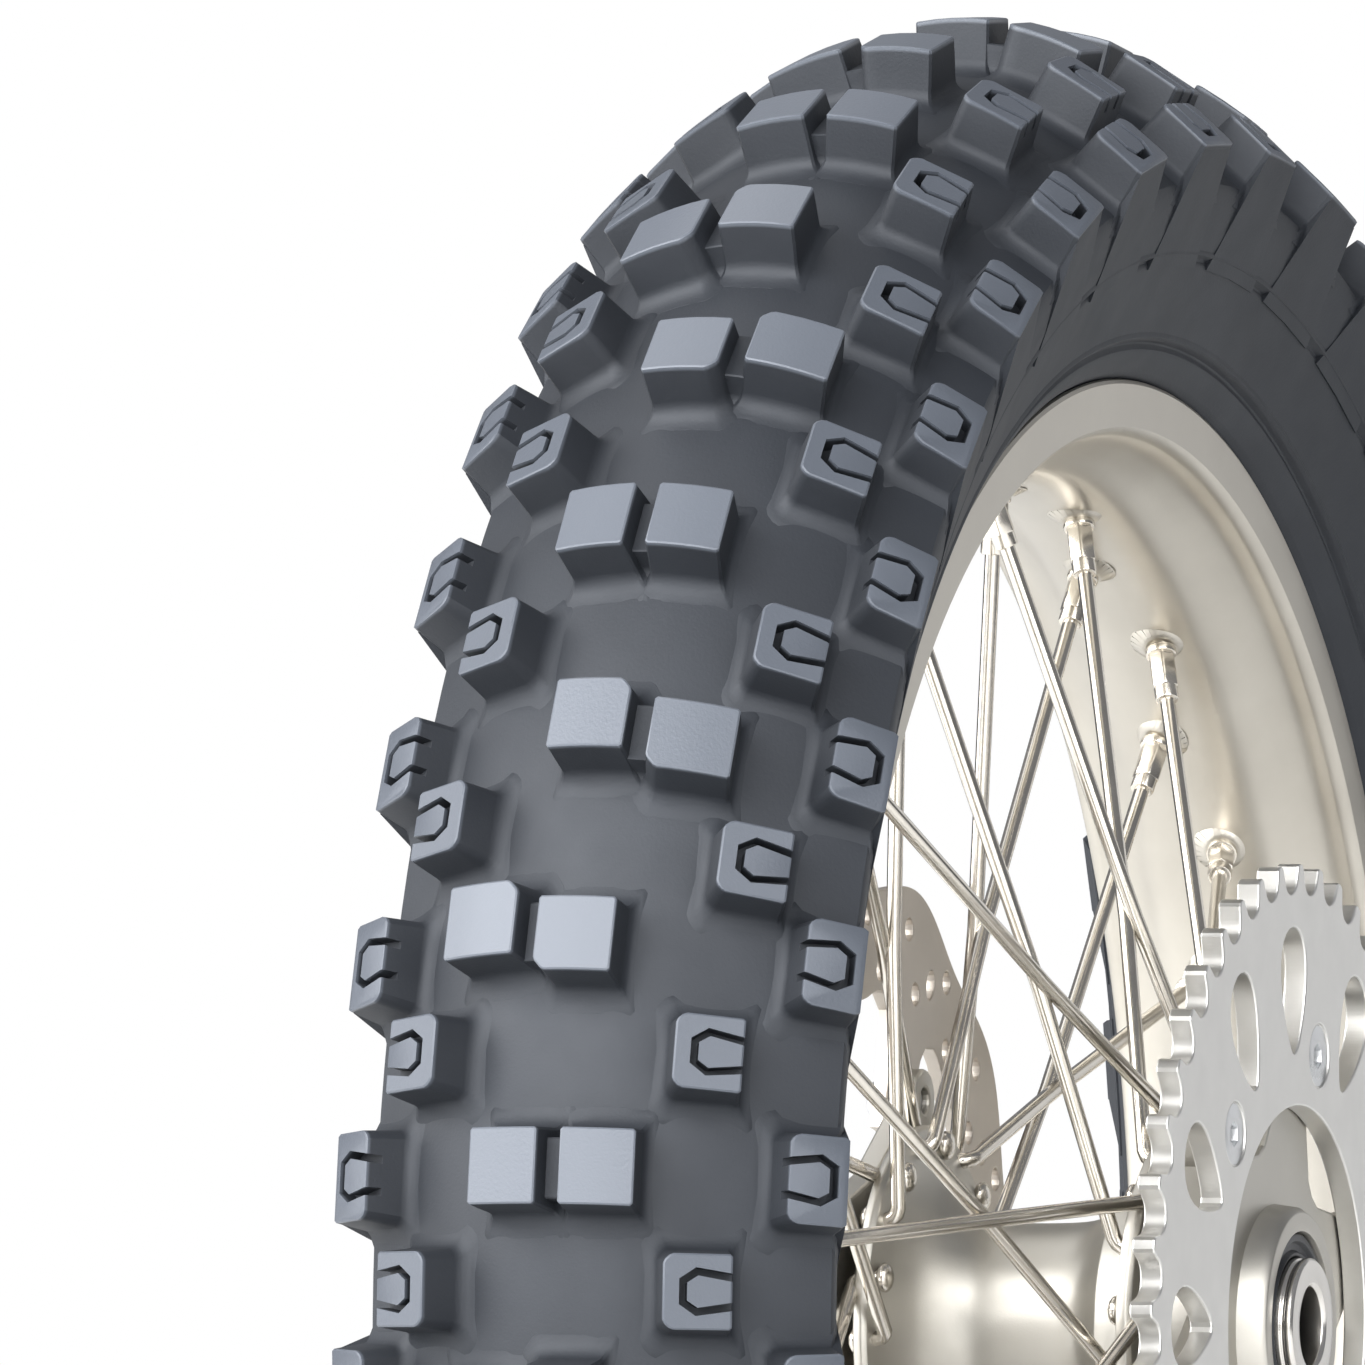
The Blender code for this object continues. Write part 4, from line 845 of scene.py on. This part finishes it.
copies = []
for row in range(ROWS):
    angle = radians(TREAD_PHASE_DEG + 360.0 / ROWS * row)
    for side in (1, -1):
        copies.append(wrap(shoulder, side * SIDE_MIDDLE, angle, flip=side < 0))
        copies.append(rib_at(side, angle))
shoulders = joined(copies, "shoulder_blocks")
smooth(shoulders, 28)
give(shoulders, "shoulder_blocks", EDGE_BLOCK_RUBBER_PAINTED_HIGHLIGHT, stands_for=("tire",))
for master in (plain, nicked, bar, mid, shoulder):
    bpy.data.objects.remove(master)
print("shoulder blocks:", len(shoulders.data.polygons), "faces")

# %% [markdown]
# ## The rim
# The rim is one extrusion, rolled into a hoop and welded: a flange on each side with a
# flat outer band, a step, and a rounded well that the spokes pull on.  It is turned from
# its section.  Where each nipple passes through, the well is dimpled outwards, so a
# small dome stands on its inner side.

# %% Rim
SPOKES = 36
SPOKE_PHASE_DEG = 4.4
NIPPLE_Y = 0.0050
WELL = 0.2165
lip = FLANGE_RADIUS
well_line = round_curve([(RIM_HALF - 0.0030, lip - 0.0142), (RIM_HALF - 0.0080, lip - 0.0150),
                         (0.0230, lip - 0.0185), (0.0160, lip - 0.0236), (0.0090, lip - 0.0256),
                         (0.0, lip - 0.0261)], 6)
hook = [(-0.0030, 0.0), (-0.0029, -0.0012), (-0.0022, -0.0003), (-0.0014, 0.0), (-0.0006, -0.0003), (0.0, -0.0012),
        (0.0, -0.0122), (-0.0008, -0.0132)]
half_rim = [(0.0, WELL), (0.0110, WELL), (RIM_HALF - 0.0140, 0.2284), (RIM_HALF - 0.0030, 0.2285)]
half_rim += [(RIM_HALF + y, lip + r) for y, r in hook[1:]] + well_line[:-1]
rim_section = half_rim + [(0.0, well_line[-1][1])] + [(-y, r) for y, r in reversed(half_rim) if abs(y) > 1e-6]
rim = turned(rim_section, 216, bevel=0)
bed = well_line[-1][1]


def dome(place, out):
    """The dimple's dome round one nipple, standing on the well."""
    deselect()
    bpy.ops.mesh.primitive_cone_add(vertices=24, radius1=0.0085, radius2=0.0048, depth=0.0030, end_fill_type="NGON")
    piece = bpy.context.object
    bpy.ops.object.mode_set(mode="EDIT")
    bpy.ops.mesh.select_all(action="SELECT")
    bpy.ops.mesh.bevel(offset=0.0009, segments=3, affect="EDGES")
    bpy.ops.object.mode_set(mode="OBJECT")
    turn = Vector((0, 0, 1)).rotation_difference(out).to_matrix().to_4x4()
    piece.data.transform(Matrix.Translation(place) @ turn)
    return piece


domes = []
for k in range(SPOKES):
    angle = radians(SPOKE_PHASE_DEG + 10.0 * k)
    side = -1 if k % 2 == 0 else 1
    inwards = -polar(1.0, angle)
    lean = (inwards + Vector((0, side * 0.22, 0))).normalized()
    domes.append(dome(polar(bed + 0.0002, angle, side * NIPPLE_Y), lean))
domes = joined([rim] + domes, "rim")
smooth(rim, 34)
give(rim, "rim", RIM_ALUMINIUM, stands_for=("rim",))
print("rim:", len(rim.data.polygons), "faces")

# %% [markdown]
# ## Spokes and nipples
# A spoke is drawn wire with a bend and a head at the hub and a thread at the rim.  It
# leaves one face of the hub's flange, crosses its neighbour, and bends a little round
# it.  A curve with a round bevel gives the wire.  There are four kinds: each side of the
# hub has spokes that leave the flange's outer face and spokes that leave its inner face.
# Each kind is made once and copied nine times round the axle.

# %% Spoke paths
CROSS_DEG = 40.0
SPOKE_CIRCLE = 0.0450
SPOKE_RADIUS = 0.0020
NIPPLE_END = 0.2115
HUB_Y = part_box("bearing_outer_drive")[1][1] + 0.0520
HUB_FLANGES = {"drive": (-1, HUB_Y - 0.0450), "brake": (1, HUB_Y + 0.0300)}
DISH = 0.0032


def spoke_path(side, flange_y, lean, face):
    """Points from the head to the rim, for a spoke whose nipple is at angle 0."""
    hub = radians(lean * CROSS_DEG)
    half = radians(360.0 / SPOKES)
    hub_y = flange_y - side * DISH
    foot = polar(SPOKE_CIRCLE, hub, hub_y + face * side * 0.0046)
    rim_end = polar(NIPPLE_END, 0.0, side * NIPPLE_Y)
    rim_part = NIPPLE_END * sin(half)
    hub_part = SPOKE_CIRCLE * sin(radians(CROSS_DEG) - half)
    share = hub_part / (rim_part + hub_part)
    cross = foot.lerp(rim_end, share)
    cross.y = hub_y + (side * NIPPLE_Y - hub_y) * share + face * side * 0.0012
    along = (cross - foot).normalized()
    through = Vector((0, face * side, 0))
    base = Vector((foot.x, hub_y, foot.z))
    head = base - through * 0.0034
    elbow = [foot + along * d - through * s for d, s in ((0.0007, 0.0016), (0.0018, 0.0005), (0.0034, 0.0))]
    near_cross = [cross - along * 0.006, cross, cross + (rim_end - cross).normalized() * 0.006]
    return [head, base + through * 0.001] + elbow + near_cross + [rim_end]


def wire(points, radius, sides=3):
    """A round wire through these points, as a mesh."""
    path = bpy.data.curves.new("wire", "CURVE")
    path.dimensions = "3D"
    path.bevel_depth = radius
    path.bevel_resolution = sides
    path.use_fill_caps = True
    line = path.splines.new("POLY")
    line.points.add(len(points) - 1)
    for point, place in zip(line.points, points):
        point.co = (*place, 1.0)
    piece = bpy.data.objects.new("wire", path)
    bpy.context.scene.collection.objects.link(piece)
    deselect()
    piece.select_set(True)
    bpy.context.view_layer.objects.active = piece
    bpy.ops.object.convert(target="MESH")
    return bpy.context.object


def nipple_master():
    """A hexagon nipple along Z: its rim end is at the origin and its spoke end at +Z."""
    deselect()
    bpy.ops.mesh.primitive_cylinder_add(vertices=6, radius=0.0037, depth=0.0100, location=(0, 0, 0.0075))
    hexagon = bpy.context.object
    apply_bevel(hexagon, 0.0005, 2, 40)
    bpy.ops.mesh.primitive_cylinder_add(vertices=20, radius=0.0031, depth=0.0160, location=(0, 0, 0.0080))
    barrel = bpy.context.object
    apply_bevel(barrel, 0.0005, 2, 40)
    bpy.ops.mesh.primitive_cylinder_add(vertices=20, radius=0.0041, depth=0.0022, location=(0, 0, 0.0016))
    collar = bpy.context.object
    apply_bevel(collar, 0.0006, 2, 40)
    for part in (hexagon, barrel, collar):
        put_in_mesh(part)
    nipple = joined([hexagon, barrel, collar], "nipple")
    smooth(nipple, 34)
    return nipple


# %% Lace the wheel
nipple = nipple_master()
count = 0
for name, (side, flange_y) in HUB_FLANGES.items():
    first = SPOKE_PHASE_DEG + (10.0 if side > 0 else 0.0)
    for kind, lean, face, offset in (("outer", 1, 1, 0.0), ("inner", -1, -1, 20.0)):
        points = spoke_path(side, flange_y, lean, face)
        spoke = wire(points, SPOKE_RADIUS)
        deselect()
        bpy.ops.mesh.primitive_uv_sphere_add(segments=14, ring_count=8, radius=0.0038, location=points[0])
        head = bpy.context.object
        bpy.ops.transform.resize(value=(1, 0.55, 1))
        put_in_mesh(head)
        spoke = joined([spoke, head], "spoke")
        smooth(spoke, 40)
        down = (points[-2] - points[-1]).normalized()
        turn = Vector((0, 0, 1)).rotation_difference(down).to_matrix().to_4x4()
        seated = copy_of(nipple, Matrix.Translation(points[-1]) @ turn)
        for k in range(9):
            place = about_axle(radians(first + offset + 40.0 * k))
            node = "spokes_%s_%d" % (name, k + 1)
            stay = copy_of(spoke, place)
            give(stay, "spoke_%s_%s_%d" % (name, kind, k + 1), SPOKE_STEEL,
                 stands_for=(node,))
            nut = copy_of(seated, place)
            give(nut, "nipple_%s_%s_%d" % (name, kind, k + 1), NIPPLE_NICKEL,
                 stands_for=(node,))
            count += 1
        bpy.data.objects.remove(spoke)
        bpy.data.objects.remove(seated)
bpy.data.objects.remove(nipple)
print(count, "spokes laced")

# %% [markdown]
# ## The hub
# The hub is one casting, machined where things fit: a tube, a bell that carries the
# brake side's spokes, a flange on the drive side, and a deep dish behind the sprocket
# that holds the seal.  It is turned from one outline.  The two carriers that the
# sprocket and the disc bolt onto are plates with rounded ears.

# %% Hub body
hub_low, hub_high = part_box("hub")
SEAL_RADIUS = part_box("seal_drive")[1][0]
drive_end = hub_low[1]
brake_end = hub_high[1]
barrel = round_curve([(-0.0290, 0.0345), (-0.0240, 0.0292), (-0.0180, 0.0262), (-0.0060, 0.0254), (0.0040, 0.0258),
                      (0.0110, 0.0282), (0.0180, 0.0335), (0.0230, 0.0405), (0.0258, 0.0470)], 5)
shell = [(-0.0480, 0.0330), (-0.0470, 0.0360), (-0.0436, 0.0488), (-0.0424, 0.0500), (-0.0398, 0.0498),
         (-0.0394, 0.0484), (-0.0425, 0.0370), (-0.0400, 0.0352), (-0.0330, 0.0349)] + barrel + [
         (0.0262, 0.0490), (0.0276, 0.0500), (0.0296, 0.0496), (0.0304, 0.0478), (0.0320, 0.0380), (0.0345, 0.0335)]
seats = [(0.0330, SEAL_RADIUS + 0.0004), (0.0325, 0.0170), (-0.0516, 0.0170), (-0.0520, SEAL_RADIUS + 0.0004)]
hub_outline = [(drive_end, SEAL_RADIUS + 0.0004), (drive_end, 0.0285), (drive_end + 0.002, 0.0300)]
hub_outline += [(y + HUB_Y, r) for y, r in shell]
hub_outline += [(brake_end - 0.001, 0.0305), (brake_end, 0.0295), (brake_end, SEAL_RADIUS + 0.0004)]
hub_outline += [(y + HUB_Y, r) for y, r in seats]
hub = turned(hub_outline, 144, bevel=0.0003)
give(hub, "hub_shell", HUB_ALUMINIUM, stands_for=("hub",))


def ears(angles, circle, ear, valley, bore):
    """Outline of a carrier with a rounded ear for each bolt, and its bore."""
    line = []
    gap = tau / len(angles)
    for a in angles:
        for k in range(13):
            turn = -0.62 * pi + 1.24 * pi * k / 12
            out = circle + ear * cos(turn)
            line.append((hypot(out, ear * sin(turn)), a + atan2(ear * sin(turn), out)))
        for share in (0.40, 0.46, 0.50, 0.54, 0.60):
            line.append((valley + 0.0006 * abs(share - 0.5) * 20, a + gap * share))
    return [line, [(bore, tau * k / 96) for k in range(96)]]


SPROCKET_ANGLES = [radians(43.0 + 60.0 * k) for k in range(6)]
DISC_ANGLES = [radians(20.0 + 90.0 * k) for k in range(4)]
BOLT_CIRCLE = 0.0700
DISC_CIRCLE = 0.0600
face = plate_high[1] + 0.0003
outlines = ears(SPROCKET_ANGLES, BOLT_CIRCLE, 0.0088, 0.0450, 0.0290)
outlines += [circle_at(BOLT_CIRCLE, a, 0.0043, 16) for a in SPROCKET_ANGLES]
carrier = plate(outlines, face + 0.0035, 0.0070, 0.0008)
give(carrier, "sprocket_carrier", HUB_ALUMINIUM, stands_for=("hub",))
face = disc_low[1] - 0.0003
outlines = ears(DISC_ANGLES, DISC_CIRCLE, 0.0080, 0.0410, 0.0290)
outlines += [circle_at(DISC_CIRCLE, a, 0.0033, 16) for a in DISC_ANGLES]
carrier = plate(outlines, face - 0.00325, 0.0065, 0.0008)
give(carrier, "disc_carrier", HUB_ALUMINIUM, stands_for=("hub",))
print("hub:", len(hub.data.polygons), "faces")

# %% [markdown]
# ## The sprocket
# Its teeth follow from the chain: a roller sits in each valley, so a valley is an arc a
# little larger than the roller, round a point on the pitch circle.  Between the valleys
# the teeth are cut off short.  Twelve drop shaped windows save weight.

# %% Sprocket
TEETH = 45
PITCH = 0.015875
VALLEY = 0.0051
TOOTH_PHASE_DEG = 5.8
pitch_radius = PITCH / (2 * sin(pi / TEETH))
tip_radius = plate_high[2]


def tooth_line():
    line = []
    for k in range(TEETH):
        a = radians(TOOTH_PHASE_DEG) + tau * k / TEETH
        for i in range(9):
            turn = pi + radians(-74 + 148 * i / 8)
            out = pitch_radius + VALLEY * cos(turn)
            line.append((hypot(out, VALLEY * sin(turn)), a - atan2(VALLEY * sin(turn), out)))
        for share, drop in ((0.375, 0.0006), (0.43, 0.0), (0.50, -0.0001), (0.57, 0.0), (0.625, 0.0006)):
            line.append((tip_radius - drop, a + tau / TEETH * share))
    return line


def drop_window(angle):
    """A drop with its narrow end towards the axle."""
    line = []
    for k in range(28):
        turn = tau * k / 28
        out = 0.0845 - 0.0160 * cos(turn)
        fat = 0.0094 * sin(turn) * (1.0 - 0.42 * cos(turn))
        line.append((hypot(out, fat), angle + atan2(fat, out)))
    return line


outlines = [tooth_line(), [(0.0555, tau * k / 120) for k in range(120)]]
for a in SPROCKET_ANGLES:
    outlines += [drop_window(a + radians(16.6)), drop_window(a - radians(16.6)), circle_at(BOLT_CIRCLE, a, 0.0081, 32)]
teeth = plate(outlines, (plate_low[1] + plate_high[1]) / 2, plate_high[1] - plate_low[1], 0.0005)
give(teeth, "sprocket", PLATE_ALUMINIUM, stands_for=("sprocket",))
seats = []
for a in SPROCKET_ANGLES:
    deselect()
    bpy.ops.mesh.primitive_cone_add(vertices=32, radius1=0.0081, radius2=0.0046, depth=0.0052,
                                    end_fill_type="NOTHING")
    cone = bpy.context.object
    middle = polar(BOLT_CIRCLE, a, SPROCKET_Y + 0.0030)
    cone.data.transform(Matrix.Translation(middle) @ Matrix.Rotation(-pi / 2, 4, "X"))
    wall = cone.modifiers.new("wall", "SOLIDIFY")
    wall.thickness = 0.0003
    bpy.ops.object.modifier_apply(modifier=wall.name)
    seats.append(cone)
sinks = joined(seats, "countersinks")
smooth(sinks)
give(sinks, "countersinks", PLATE_ALUMINIUM, stands_for=("sprocket",))
print("sprocket:", len(teeth.data.polygons), "faces")

# %% [markdown]
# ## The brake disc
# A thin ring of stainless steel with a wavy edge, which sheds mud, and rows of holes that
# clean the pads.  Four arms carry it.

# %% Brake disc
LOBES = 10
WAVE = 0.0026
DISC_RADIUS = 0.1120
BAND = 0.0830
outer = [(DISC_RADIUS + WAVE * cos(LOBES * tau * k / 300), tau * k / 300) for k in range(300)]
inner = []
for a in DISC_ANGLES:
    inner += [(0.0500, a - 0.20 + 0.40 * k / 6) for k in range(7)]
    inner += [(0.0660, a + 0.15), (0.0760, a + 0.155), (0.0805, a + 0.175)]
    inner += [(BAND + 0.0012 * sin(pi * k / 4), a + 0.20 + (pi / 2 - 0.40) * k / 28) for k in range(1, 28)]
    inner += [(0.0805, a + pi / 2 - 0.175), (0.0760, a + pi / 2 - 0.155), (0.0660, a + pi / 2 - 0.15)]
outlines = [outer, inner] + [circle_at(DISC_CIRCLE, a, 0.0033, 16) for a in DISC_ANGLES]
for k in range(60):
    radius = (0.0895, 0.0965, 0.1035)[k % 3]
    outlines.append(circle_at(radius, tau * (k + 0.5) / 60, 0.0030, 14, 1.35 if k % 3 == 1 else 1.0))
rotor = plate(outlines, DISC_Y, disc_high[1] - disc_low[1], 0.0004)
give(rotor, "brake_disc", DISC_STEEL, stands_for=("brake_disc",))
print("disc:", len(rotor.data.polygons), "faces")

# %% [markdown]
# ## Fasteners
# Each kind of bolt is modelled once along Y and copied.  The countersunk bolt's head is a
# cone, and a hexagonal bar is cut out of its outer face for the key.

# %% Bolts and nuts
def bolt_master(head, thick, shank, length, outwards, dome=0.0):
    """Bolt whose head's outer face is at y 0; outwards is -1 or 1 along Y."""
    deselect()
    spin_to_y = Matrix.Rotation(outwards * -pi / 2, 4, "X")
    bpy.ops.mesh.primitive_cone_add(vertices=36, radius1=head if dome else shank, radius2=head - dome,
                                    depth=thick, location=(0, 0, -thick / 2))
    top_part = bpy.context.object
    put_in_mesh(top_part)
    top_part.data.transform(spin_to_y)
    bpy.ops.mesh.primitive_cylinder_add(vertices=6, radius=head * 0.42, depth=thick * 1.2)
    key = bpy.context.object
    key.data.transform(spin_to_y)
    cut_away(top_part, key)
    apply_bevel(top_part, 0.0003, 2, 30)
    deselect()
    bpy.ops.mesh.primitive_cylinder_add(vertices=24, radius=shank, depth=length,
                                        location=(0, 0, -thick * 0.8 - length / 2))
    stem = bpy.context.object
    put_in_mesh(stem)
    stem.data.transform(spin_to_y)
    apply_bevel(stem, 0.0004, 2, 30)
    bolt = joined([top_part, stem], "bolt")
    smooth(bolt, 30)
    return bolt


def nut_master(across_flats, thick, bore):
    """Hexagon nut along Y, its foot at y 0 and growing to +Y."""
    deselect()
    bpy.ops.mesh.primitive_cylinder_add(vertices=6, radius=across_flats / 2 / cos(pi / 6), depth=thick)
    body = bpy.context.object
    body.data.transform(Matrix.Rotation(pi / 2, 4, "X") @ Matrix.Translation((0, 0, -thick / 2)))
    bpy.ops.mesh.primitive_cylinder_add(vertices=32, radius=bore, depth=thick * 3)
    tool = bpy.context.object
    tool.data.transform(Matrix.Rotation(pi / 2, 4, "X"))
    cut_away(body, tool)
    apply_bevel(body, 0.0005, 2, 35)
    smooth(body, 30)
    return body


sunk = bolt_master(0.0078, 0.0040, 0.0040, 0.0170, -1)
locknut = nut_master(0.0126, 0.0060, 0.0042)
NUT_FOOT_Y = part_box("sprocket_nut_1")[0][1]
for k, a in enumerate(SPROCKET_ANGLES):
    head = copy_of(sunk, Matrix.Translation(polar(BOLT_CIRCLE, a, SPROCKET_Y + 0.0004)))
    name = "sprocket_bolt_%d" % (k + 1)
    give(head, name, BOLT_ZINC, stands_for=(name,))
    nut = copy_of(locknut, Matrix.Translation(polar(BOLT_CIRCLE, a, NUT_FOOT_Y)) @ about_axle(radians(11 * k)))
    name = "sprocket_nut_%d" % (k + 1)
    give(nut, name, BOLT_ZINC, stands_for=(name,))
button = bolt_master(0.0060, 0.0032, 0.0030, 0.0100, 1, dome=0.0016)
for k, a in enumerate(DISC_ANGLES):
    head = copy_of(button, Matrix.Translation(polar(DISC_CIRCLE, a, disc_high[1] + 0.0035)))
    name = "disc_bolt_%d" % (k + 1)
    give(head, name, BOLT_ZINC, stands_for=(name,))
for master in (sunk, locknut, button):
    bpy.data.objects.remove(master)

# %% [markdown]
# ## Seals, collars and the valve
# A rubber lip seal on each side keeps water out of the bearing and rubs on a turned
# collar, which stands still with the axle.  The valve and the rim lock are turned and
# threaded pieces that point at the axle.

# %% Seals and collars
AXLE = 0.0100
for name, side in (("drive", -1), ("brake", 1)):
    low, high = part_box("seal_" + name)
    near, far = (low[1], high[1]) if side > 0 else (high[1], low[1])
    lip = 0.0176
    ring = [(near, lip), (near, SEAL_RADIUS), (far - side * 0.0005, SEAL_RADIUS), (far, SEAL_RADIUS - 0.0005),
            (far, SEAL_RADIUS - 0.0020), (far - side * 0.0014, SEAL_RADIUS - 0.0026),
            (far - side * 0.0014, lip + 0.0016), (far, lip + 0.0008), (far - side * 0.0004, lip)]
    seal = turned(ring, 96, bevel=0.0002)
    give(seal, "seal_" + name, SEAL_RUBBER, stands_for=("seal_" + name,))
    low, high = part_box("collar_" + name)
    near, far = (low[1], high[1]) if side > 0 else (high[1], low[1])
    wide = high[0]
    ring = [(near, AXLE), (near, wide), (far - side * 0.0034, wide), (far - side * 0.0030, wide - 0.0006),
            (far - side * 0.0024, wide - 0.0006), (far - side * 0.0020, wide), (far - side * 0.0008, wide),
            (far, wide - 0.0008), (far, AXLE + 0.0009), (far - side * 0.0009, AXLE)]
    collar = turned(ring, 96, bevel=0.00015)
    give(collar, "collar_" + name, COLLAR_STEEL, body="axle_set",
         stands_for=("collar_" + name,))

# %% Valve, cap and rim lock nut
VALVE_ANGLE = radians(SPOKE_PHASE_DEG + 205.0)
LOCK_ANGLE = radians(SPOKE_PHASE_DEG + 255.0)


def threaded(start, end, core, ridge, pitch):
    """Half outline of a threaded stem from start to end, as (radius from its line, height)."""
    line = []
    turns = int((end - start) / pitch)
    for k in range(turns):
        line += [(core, start + pitch * k), (ridge, start + pitch * (k + 0.4)), (ridge, start + pitch * (k + 0.6))]
    return line + [(core, start + pitch * turns), (core, end)]


def pin(outline, steps, angle):
    """Spin a half outline about a line that points at the axle; height is distance from it."""
    deselect()
    bpy.ops.mesh.primitive_circle_add(vertices=len(outline), fill_type="NOTHING")
    piece = bpy.context.object
    for vert, (radius, height) in zip(piece.data.vertices, outline):
        vert.co = (radius, 0.0, height)
    bpy.ops.object.mode_set(mode="EDIT")
    bpy.ops.mesh.select_all(action="SELECT")
    bpy.ops.mesh.spin(steps=steps, angle=tau, center=(0, 0, 0), axis=(0, 0, 1))
    bpy.ops.mesh.select_all(action="SELECT")
    bpy.ops.mesh.remove_doubles(threshold=0.00001)
    bpy.ops.mesh.normals_make_consistent(inside=False)
    bpy.ops.object.mode_set(mode="OBJECT")
    piece.data.transform(Vector((0, 0, 1)).rotation_difference(polar(1.0, angle)).to_matrix().to_4x4())
    smooth(piece)
    return piece


stem_outline = threaded(0.1800, 0.2190, 0.0036, 0.0041, 0.0010)
stem_outline += [(0.0056, 0.2190), (0.0058, 0.2200), (0.0056, 0.2214), (0.0020, 0.2216), (0.0020, 0.1800)]
stem = pin(stem_outline, 24, VALVE_ANGLE)
give(stem, "valve_stem", VALVE_BRASS, stands_for=("valve_stem",))
cap_outline = [(0.0044, 0.1900), (0.0054, 0.1900), (0.0054, 0.1806), (0.0048, 0.1792), (0.0030, 0.1788),
               (0.0001, 0.1788), (0.0001, 0.1795), (0.0044, 0.1797)]
cap = pin(cap_outline, 24, VALVE_ANGLE)
give(cap, "valve_cap", SEAL_RUBBER, body="valve_cap", stands_for=("valve_cap",))
locknut = nut_master(0.0122, 0.0068, 0.0043)
down = Vector((0, 1, 0)).rotation_difference(polar(1.0, LOCK_ANGLE)).to_matrix().to_4x4()
locknut.data.transform(Matrix.Translation(polar(0.2052, LOCK_ANGLE)) @ down)
give(locknut, "rim_lock_nut", BOLT_ZINC, body="rim_lock_nut",
     stands_for=("rim_lock_nut",))
stud_outline = threaded(0.1842, 0.2160, 0.00405, 0.0042, 0.00125) + [(0.0001, 0.2160), (0.0001, 0.1842)]
stud = pin(stud_outline, 24, LOCK_ANGLE)
give(stud, "rim_lock_stud", BOLT_ZINC)

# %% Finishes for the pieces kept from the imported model
KEPT = {"bead_wire_drive": WIRE_STEEL, "bead_wire_brake": WIRE_STEEL, "inner_tube": TUBE_RUBBER,
        "rim_strip": TUBE_RUBBER, "rim_lock": TUBE_RUBBER, "distance_tube": BEARING_STEEL,
        "bearing_outer_drive": BEARING_STEEL, "bearing_outer_brake": BEARING_STEEL,
        "bearing_inner_drive": BEARING_STEEL, "bearing_inner_brake": BEARING_STEEL,
        "bearing_balls_drive": BEARING_STEEL, "bearing_balls_brake": BEARING_STEEL, "valve_core": VALVE_BRASS}
for name, look in KEPT.items():
    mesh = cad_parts[name].data
    mesh.materials.clear()
    mesh.materials.append(look)
print(len(KEPT), "pieces keep their packed shape")
